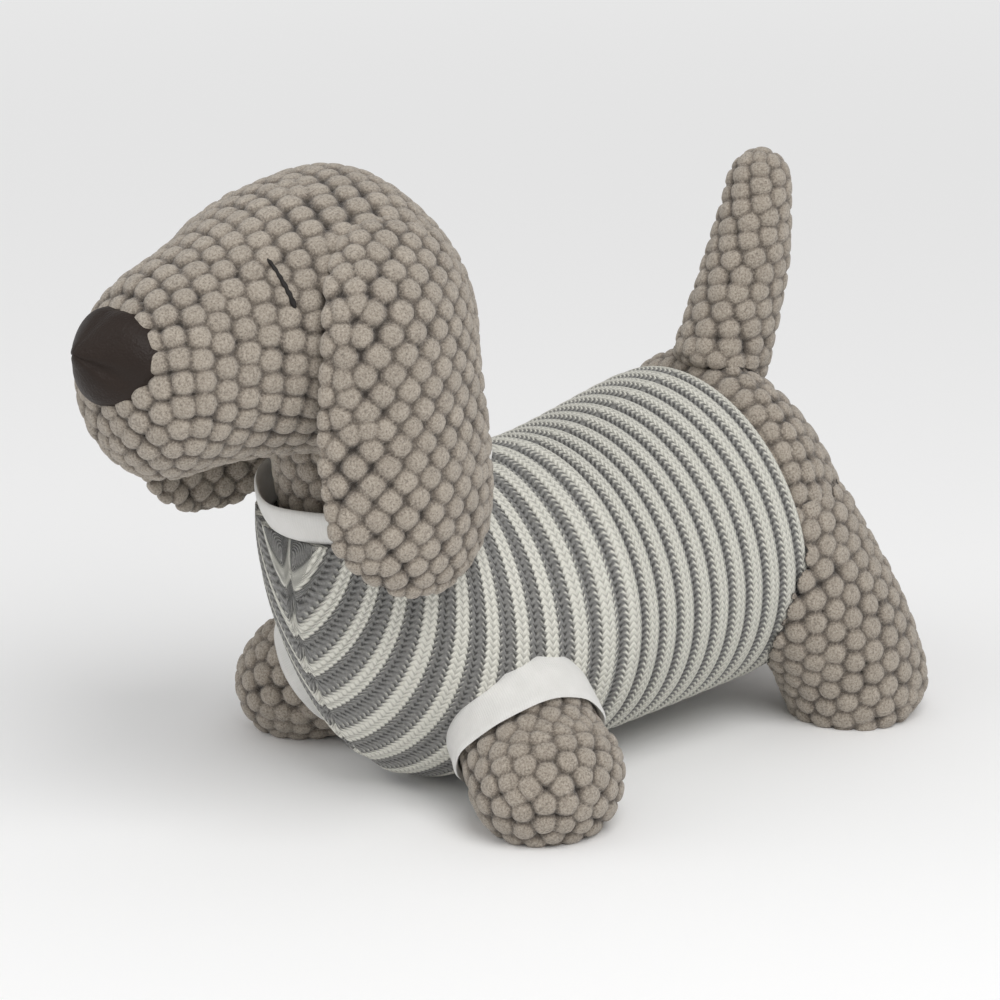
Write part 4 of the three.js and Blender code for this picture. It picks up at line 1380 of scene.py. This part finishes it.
class HOUND_OT_eyes(bpy.types.Operator):
    """Make the long stitch of each closed eye from two twisted strands"""

    bl_idname = "hound.eyes"
    bl_label = "Eyes"

    def execute(self, context):
        trim = context.scene.hound_trim
        shares = np.linspace(0, 1, 7)
        t, a = (EYE_ENDS[0][k] + (EYE_ENDS[1][k] - EYE_ENDS[0][k]) * shares for k in (0, 1))
        lift = 1.1 - 1.3 * (2 * shares - 1) ** 8
        thread = Spine(head_form.at(t, a * math.pi, lift))
        points, faces = self.strand(thread)
        for side, name in ((1, "eye_stitch_left"), (-1, "eye_stitch_right")):
            sewn = mirrored_points(on_head(points), side)
            piece = make_piece(f"{name}_thread", sewn, mirrored_faces(faces, side))
            finish_piece(piece, name, dark_thread(trim))
        return {"FINISHED"}

    def strand(self, thread, rings=120, segments=16, turns=7):
        """A thread with two twisted lobes, thin at its upper end."""
        t = np.linspace(0, 1, rings)
        along = thread.tangent(t)
        side = np.cross(along, np.array([0, 1, 0.0]))
        side /= np.linalg.norm(side, axis=1)[:, None]
        up = np.cross(side, along)
        a = even_turn(segments)
        lobes = 1 + 0.16 * np.cos(2 * a[None, :] + 2 * math.pi * turns * t[:, None])
        radius = EYE_THREAD * (0.42 + 0.35 * t) * np.sqrt(np.clip(1 - (2 * t - 1) ** 20, 0.02, 1))
        ring = side[:, None, :] * np.cos(a)[None, :, None]
        ring = ring + up[:, None, :] * np.sin(a)[None, :, None]
        centre = thread.point(t)
        points = (centre[:, None, :] + ring * (lobes * radius[:, None])[..., None]).reshape(-1, 3)
        return np.vstack([points, centre[:1], centre[-1:]]), grid_faces(rings, segments, False)


class HOUND_OT_jumper(bpy.types.Operator):
    """Make the ribbed jumper, pulled over the trunk"""

    bl_idname = "hound.jumper"
    bl_label = "Jumper"

    def execute(self, context):
        knit = context.scene.hound_knit
        shell = self.shell(knit)
        room = plain_skin("room", trunk_form, -JUMPER_THICKNESS, start=hem_share - 0.06)
        carve(room, above_neckline(-JUMPER_THICKNESS))
        cutters = [room, above_neckline(0), self.neck_room()]
        for side in (1, -1):
            cutters.append(plain_skin("armhole", fore_form, SEAT_GAP + CUFF_CLEAR * 0.5, side=side))
        carve(shell, *cutters)
        self.lay_stitches(shell, knit)
        finish_piece(shell, "jumper", rib_knit(knit))
        return {"FINISHED"}

    def neck_room(self):
        """The round opening inside the collar."""
        a = even_turn(NECK_SEGMENTS)
        x = COLLAR_X + np.cos(a) * (COLLAR_HALF_LENGTH - JERSEY_THICKNESS)
        y = np.sin(a) * (COLLAR_HALF_WIDTH - JERSEY_THICKNESS)
        under = NECKLINE_FRONT + NECKLINE_RISE * (PROW_X - x) - JUMPER_THICKNESS * 1.5
        rings = [np.stack([x, y, under + lift], axis=1) for lift in (0, COLLAR_WIDTH)]
        points = np.vstack(rings + [ring.mean(axis=0) for ring in rings])
        return make_piece("neck_room", points, grid_faces(2, NECK_SEGMENTS, False))

    def rib_table(self):
        """Slices of the trunk and the rib that each lies on, counted from the hem."""
        front = np.linspace(DIP_X, PROW_X, 400)
        flank = trunk_form.point(trunk_form.share_of(front), FLANK_ANGLE)
        run = np.r_[0, np.cumsum(np.linalg.norm(np.diff(flank, axis=0), axis=1))]
        return np.r_[HEM_X, front], np.r_[0, REAR_RIBS + FRONT_RIBS * run / run[-1]]

    def rib_of(self, x):
        slices, ribs = self.rib_table()
        past = np.clip(x - PROW_X, 0, None)
        run_on = past * (ribs[-1] - ribs[-40]) / (slices[-1] - slices[-40])
        return np.interp(x, slices, ribs) + run_on

    def leaning(self, x, points):
        """Slices that lean back over the chest, so that ribs run down and forward to its seam."""
        chest = np.clip((x - DIP_X) / (PROW_X - DIP_X), 0, 1) ** 2
        return x + chest * CHEST_LEAN * (points[:, 2] - (PROW_BELLY + PROW_TOP) / 2)

    def slice_at(self, rib):
        slices, ribs = self.rib_table()
        return np.interp(rib, ribs, slices)

    def way_from_back(self, x, a):
        """Millimetres over the cloth from the line of the back, round the slice of each point."""
        slices = np.linspace(HEM_X, PROW_X, 120)
        turns = np.linspace(0, math.pi, 121)
        rings = trunk_form.point(trunk_form.share_of(slices)[:, None], math.pi / 2 - turns[None, :])
        run = np.cumsum(np.linalg.norm(np.diff(rings, axis=1), axis=2), axis=1)
        run = np.hstack([np.zeros((len(slices), 1)), run])
        i = np.clip((x - HEM_X) / (PROW_X - HEM_X) * 119, 0, 118.999)
        j = np.abs((a - math.pi / 2 + math.pi) % (2 * math.pi) - math.pi) / math.pi * 120
        j = np.clip(j, 0, 119.999)
        row, column = i.astype(int), j.astype(int)
        near = run[row, column] * (1 - j + column) + run[row, column + 1] * (j - column)
        far = run[row + 1, column] * (1 - j + column) + run[row + 1, column + 1] * (j - column)
        return near * (1 - i + row) + far * (i - row)

    def shell(self, knit):
        """The closed outside of the jumper, with its ribs and the seam down the chest."""
        last = REAR_RIBS + FRONT_RIBS
        ribs = np.linspace(0, last, POINTS_PER_RIB * last)[:-1]
        segments = JUMPER_SEGMENTS
        t = trunk_form.share_of(self.slice_at(ribs))
        a = even_turn(segments)
        tt, aa = (g.ravel() for g in np.meshgrid(t, a, indexing="ij"))
        base = trunk_form.point(tt, aa)
        normals = trunk_form.normal(tt, aa)
        rib = self.rib_of(self.leaning(np.repeat(self.slice_at(ribs), segments), base))
        valley = np.abs((rib + 0.5) % 1 - 0.5) * 2
        front = np.clip((rib - REAR_RIBS - 1) / 4, 0, 1)
        high = knit.rib_height * 1000 * (1 - 0.5 * front)
        rise = high * (1 - valley ** (2.2 - 0.4 * front))
        seam = np.exp(-((base[:, 1] / SEAM_HALF_WIDTH) ** 2))
        seam = seam * np.clip((base[:, 0] - SEAM_START_X) / SEAM_FADE, 0, 1)
        rise -= SEAM_DEPTH * seam
        rise -= HEM_ROLL * (1 - np.clip(rib / HEM_ROLL_RIBS, 0, 1)) ** 2
        points = base + normals * rise[:, None]
        hem = base[:segments].mean(axis=0)
        prow = trunk_form.point(np.array(1.0), np.array(0.0))
        points = np.vstack([points, hem, prow])
        return make_piece("jumper_knit", points, grid_faces(len(t), segments, False))

    def lay_stitches(self, piece, knit):
        """Lays rib and stitch counts over the jumper as its map, closed under the belly."""
        points = points_of(piece)
        x, a = trunk_form.slice_of(points)
        rib = self.rib_of(self.leaning(np.clip(x, HEM_X, PROW_X), points))
        wale = self.way_from_back(x, a) / (knit.stitch * 1000)
        lay_map(piece, rib, wale)
        front = np.clip((rib - REAR_RIBS) / 3, 0, 1)
        pale = knit.rear_pale + (knit.chest_pale - knit.rear_pale) * front
        give_field(piece, "pale_width", pale)


def lay_map(piece, across, along, period=math.inf):
    """Gives each face corner its place on the cloth, whole also where a count starts again."""
    mesh = piece.data
    corners = read(mesh.loops, "vertex_index")
    starts = read(mesh.polygons, "loop_start")
    sizes = read(mesh.polygons, "loop_total")
    face = np.repeat(np.arange(len(starts)), sizes)
    v = along[corners]
    highest = np.maximum.reduceat(v, starts)
    v = np.where(highest[face] - v > period / 2, v + period, v)
    layer = mesh.uv_layers.new(name="stitches")
    layer.data.foreach_set("uv", np.stack([across[corners], v], axis=1).astype(np.float32).ravel())


def band(name, outside, inside, wales, courses):
    """A band of cloth from rings that run up its outside and down its inside."""
    rings = outside + inside[::-1]
    segments = len(rings[0])
    piece = make_piece(name, np.vstack(rings), grid_faces(len(rings), segments, True))
    rows = len(outside)
    up = np.repeat(np.r_[np.arange(rows), np.arange(rows)[::-1]], segments) * courses / (rows - 1)
    round_it = np.tile(np.arange(segments), len(rings)) * wales / segments
    lay_map(piece, up, round_it, wales)
    return piece


class HOUND_OT_collar(bpy.types.Operator):
    """Make the white collar that stands on the neckline"""

    bl_idname = "hound.collar"
    bl_label = "Collar"

    def execute(self, context):
        jersey = context.scene.hound_jersey
        steps = np.linspace(0, 1, BAND_ROWS)
        outside = [self.ring(jersey, k, 0.0) for k in steps]
        inside = [self.ring(jersey, k, JERSEY_THICKNESS) for k in steps]
        piece = band("collar_band", outside, inside, COLLAR_SEGMENTS, BAND_COURSES)
        finish_piece(piece, "collar", white_jersey(jersey))
        return {"FINISHED"}

    def ring(self, jersey, k, inset):
        a = even_turn(COLLAR_SEGMENTS)
        wave = jersey.wave * 1000 * (np.sin(3 * a + 0.6) + 0.6 * np.sin(7 * a + 2.0)) * k
        bulge = (0.9 if inset == 0 else 0.5) * math.sin(math.pi * k)
        rim = 0.5 * JERSEY_THICKNESS * max(0.0, (k - 0.86) / 0.14) ** 2
        rim = rim if inset == 0 else -rim
        draw = k * COLLAR_FLARE + inset + rim - bulge - wave
        front = (np.cos(a) + 1) / 2
        x = COLLAR_X + np.cos(a) * (COLLAR_HALF_LENGTH - draw)
        y = np.sin(a) * (COLLAR_HALF_WIDTH - draw)
        rise = k * COLLAR_WIDTH * (1 - 0.12 * front)
        rise = rise + 0.5 * jersey.wave * 1000 * k * np.sin(5 * a)
        neckline = NECKLINE_FRONT + NECKLINE_RISE * (PROW_X - x)
        return np.stack([x, y, neckline + SEAT_GAP + rise], axis=1)


class HOUND_OT_cuffs(bpy.types.Operator):
    """Make the white cuffs round the forelegs where they leave the jumper"""

    bl_idname = "hound.cuffs"
    bl_label = "Cuffs"

    def execute(self, context):
        jersey = context.scene.hound_jersey
        angles = even_turn(CUFF_SEGMENTS)
        seams = self.seams(angles, 0) - JERSEY_THICKNESS / fore_form.length
        clear = CUFF_CLEAR + CUFF_SLACK
        steps = np.linspace(0, 1, BAND_ROWS)
        outside = [self.ring(jersey, seams, angles, k, clear, JERSEY_THICKNESS) for k in steps]
        inside = [self.ring(jersey, seams, angles, k, clear, 0.0) for k in steps]
        for side, name in ((1, "cuff_left"), (-1, "cuff_right")):
            rings = [[mirrored_points(ring, side) for ring in group] for group in (outside, inside)]
            if side < 0:
                rings = [[ring[::-1] for ring in group] for group in rings]
            piece = band(f"{name}_band", *rings, CUFF_SEGMENTS, BAND_COURSES)
            finish_piece(piece, name, white_jersey(jersey))
        return {"FINISHED"}

    def seams(self, angles, outside):
        """Share of the foreleg at which each angle leaves the jumper."""
        shares = np.linspace(CUFF_START, 1, 161)
        skin_points = fore_form.at(shares[:, None], angles[None, :], CUFF_CLEAR + CUFF_SLACK)
        found = shares[np.argmin(trunk_form.holds(skin_points, outside), axis=0)]
        return np.mean([np.roll(found, k) for k in range(-4, 5)], axis=0)

    def ring(self, jersey, seams, angles, k, clear, thick):
        rim = 0.5 * JERSEY_THICKNESS * max(0.0, (abs(k - 0.5) - 0.4) / 0.1) ** 2
        out = clear + thick + (-rim if thick else rim)
        waves = np.sin(4 * angles) + 0.5 * np.sin(9 * angles + 1)
        out = out + jersey.wave * 1000 * 0.5 * waves * k
        return fore_form.at(seams + k * CUFF_WIDTH / fore_form.length, angles, out)


class HOUND_OT_pouch(bpy.types.Operator):
    """Give the sand pouch inside the belly its cotton"""

    bl_idname = "hound.pouch"
    bl_label = "Sand pouch"

    def execute(self, context):
        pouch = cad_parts["sand_pouch"]
        cotton = pouch_cotton(context.scene.hound_jersey)
        for slot in pouch.material_slots:
            slot.material = cotton
        if not pouch.material_slots:
            pouch.data.materials.append(cotton)
        return {"FINISHED"}


class HOUND_PT_panel(bpy.types.Panel):
    """Lists the steps that make the door stop"""

    bl_idname = "HOUND_PT_panel"
    bl_label = "Door stop"
    bl_space_type = "VIEW_3D"
    bl_region_type = "UI"
    bl_category = "Door stop"

    def draw(self, context):
        for name, _ in SETTINGS:
            box = self.layout.box()
            group = getattr(context.scene, name)
            for key in group.__annotations__:
                box.prop(group, key)
        for operator in OPERATORS:
            self.layout.operator(operator.bl_idname)


SETTINGS = (
    ("hound_plush", PlushCloth),
    ("hound_knit", KnitCloth),
    ("hound_jersey", JerseyCloth),
    ("hound_trim", LeatherTrim),
    ("hound_stage", StageSettings),
)
OPERATORS = (
    HOUND_OT_stage,
    HOUND_OT_trunk,
    HOUND_OT_head,
    HOUND_OT_ears,
    HOUND_OT_tail,
    HOUND_OT_forelegs,
    HOUND_OT_hind_legs,
    HOUND_OT_nose,
    HOUND_OT_eyes,
    HOUND_OT_collar,
    HOUND_OT_cuffs,
    HOUND_OT_jumper,
    HOUND_OT_pouch,
)


def register():
    for name, group in SETTINGS:
        bpy.utils.register_class(group)
        setattr(bpy.types.Scene, name, bpy.props.PointerProperty(type=group))
    for operator in OPERATORS:
        bpy.utils.register_class(operator)
    bpy.utils.register_class(HOUND_PT_panel)


def unregister():
    bpy.utils.unregister_class(HOUND_PT_panel)
    for operator in reversed(OPERATORS):
        bpy.utils.unregister_class(operator)
    for name, group in reversed(SETTINGS):
        delattr(bpy.types.Scene, name)
        bpy.utils.unregister_class(group)


def main():
    register()
    for operator in OPERATORS:
        category, step = operator.bl_idname.split(".")
        getattr(getattr(bpy.ops, category), step)()


if __name__ == "__main__":
    main()
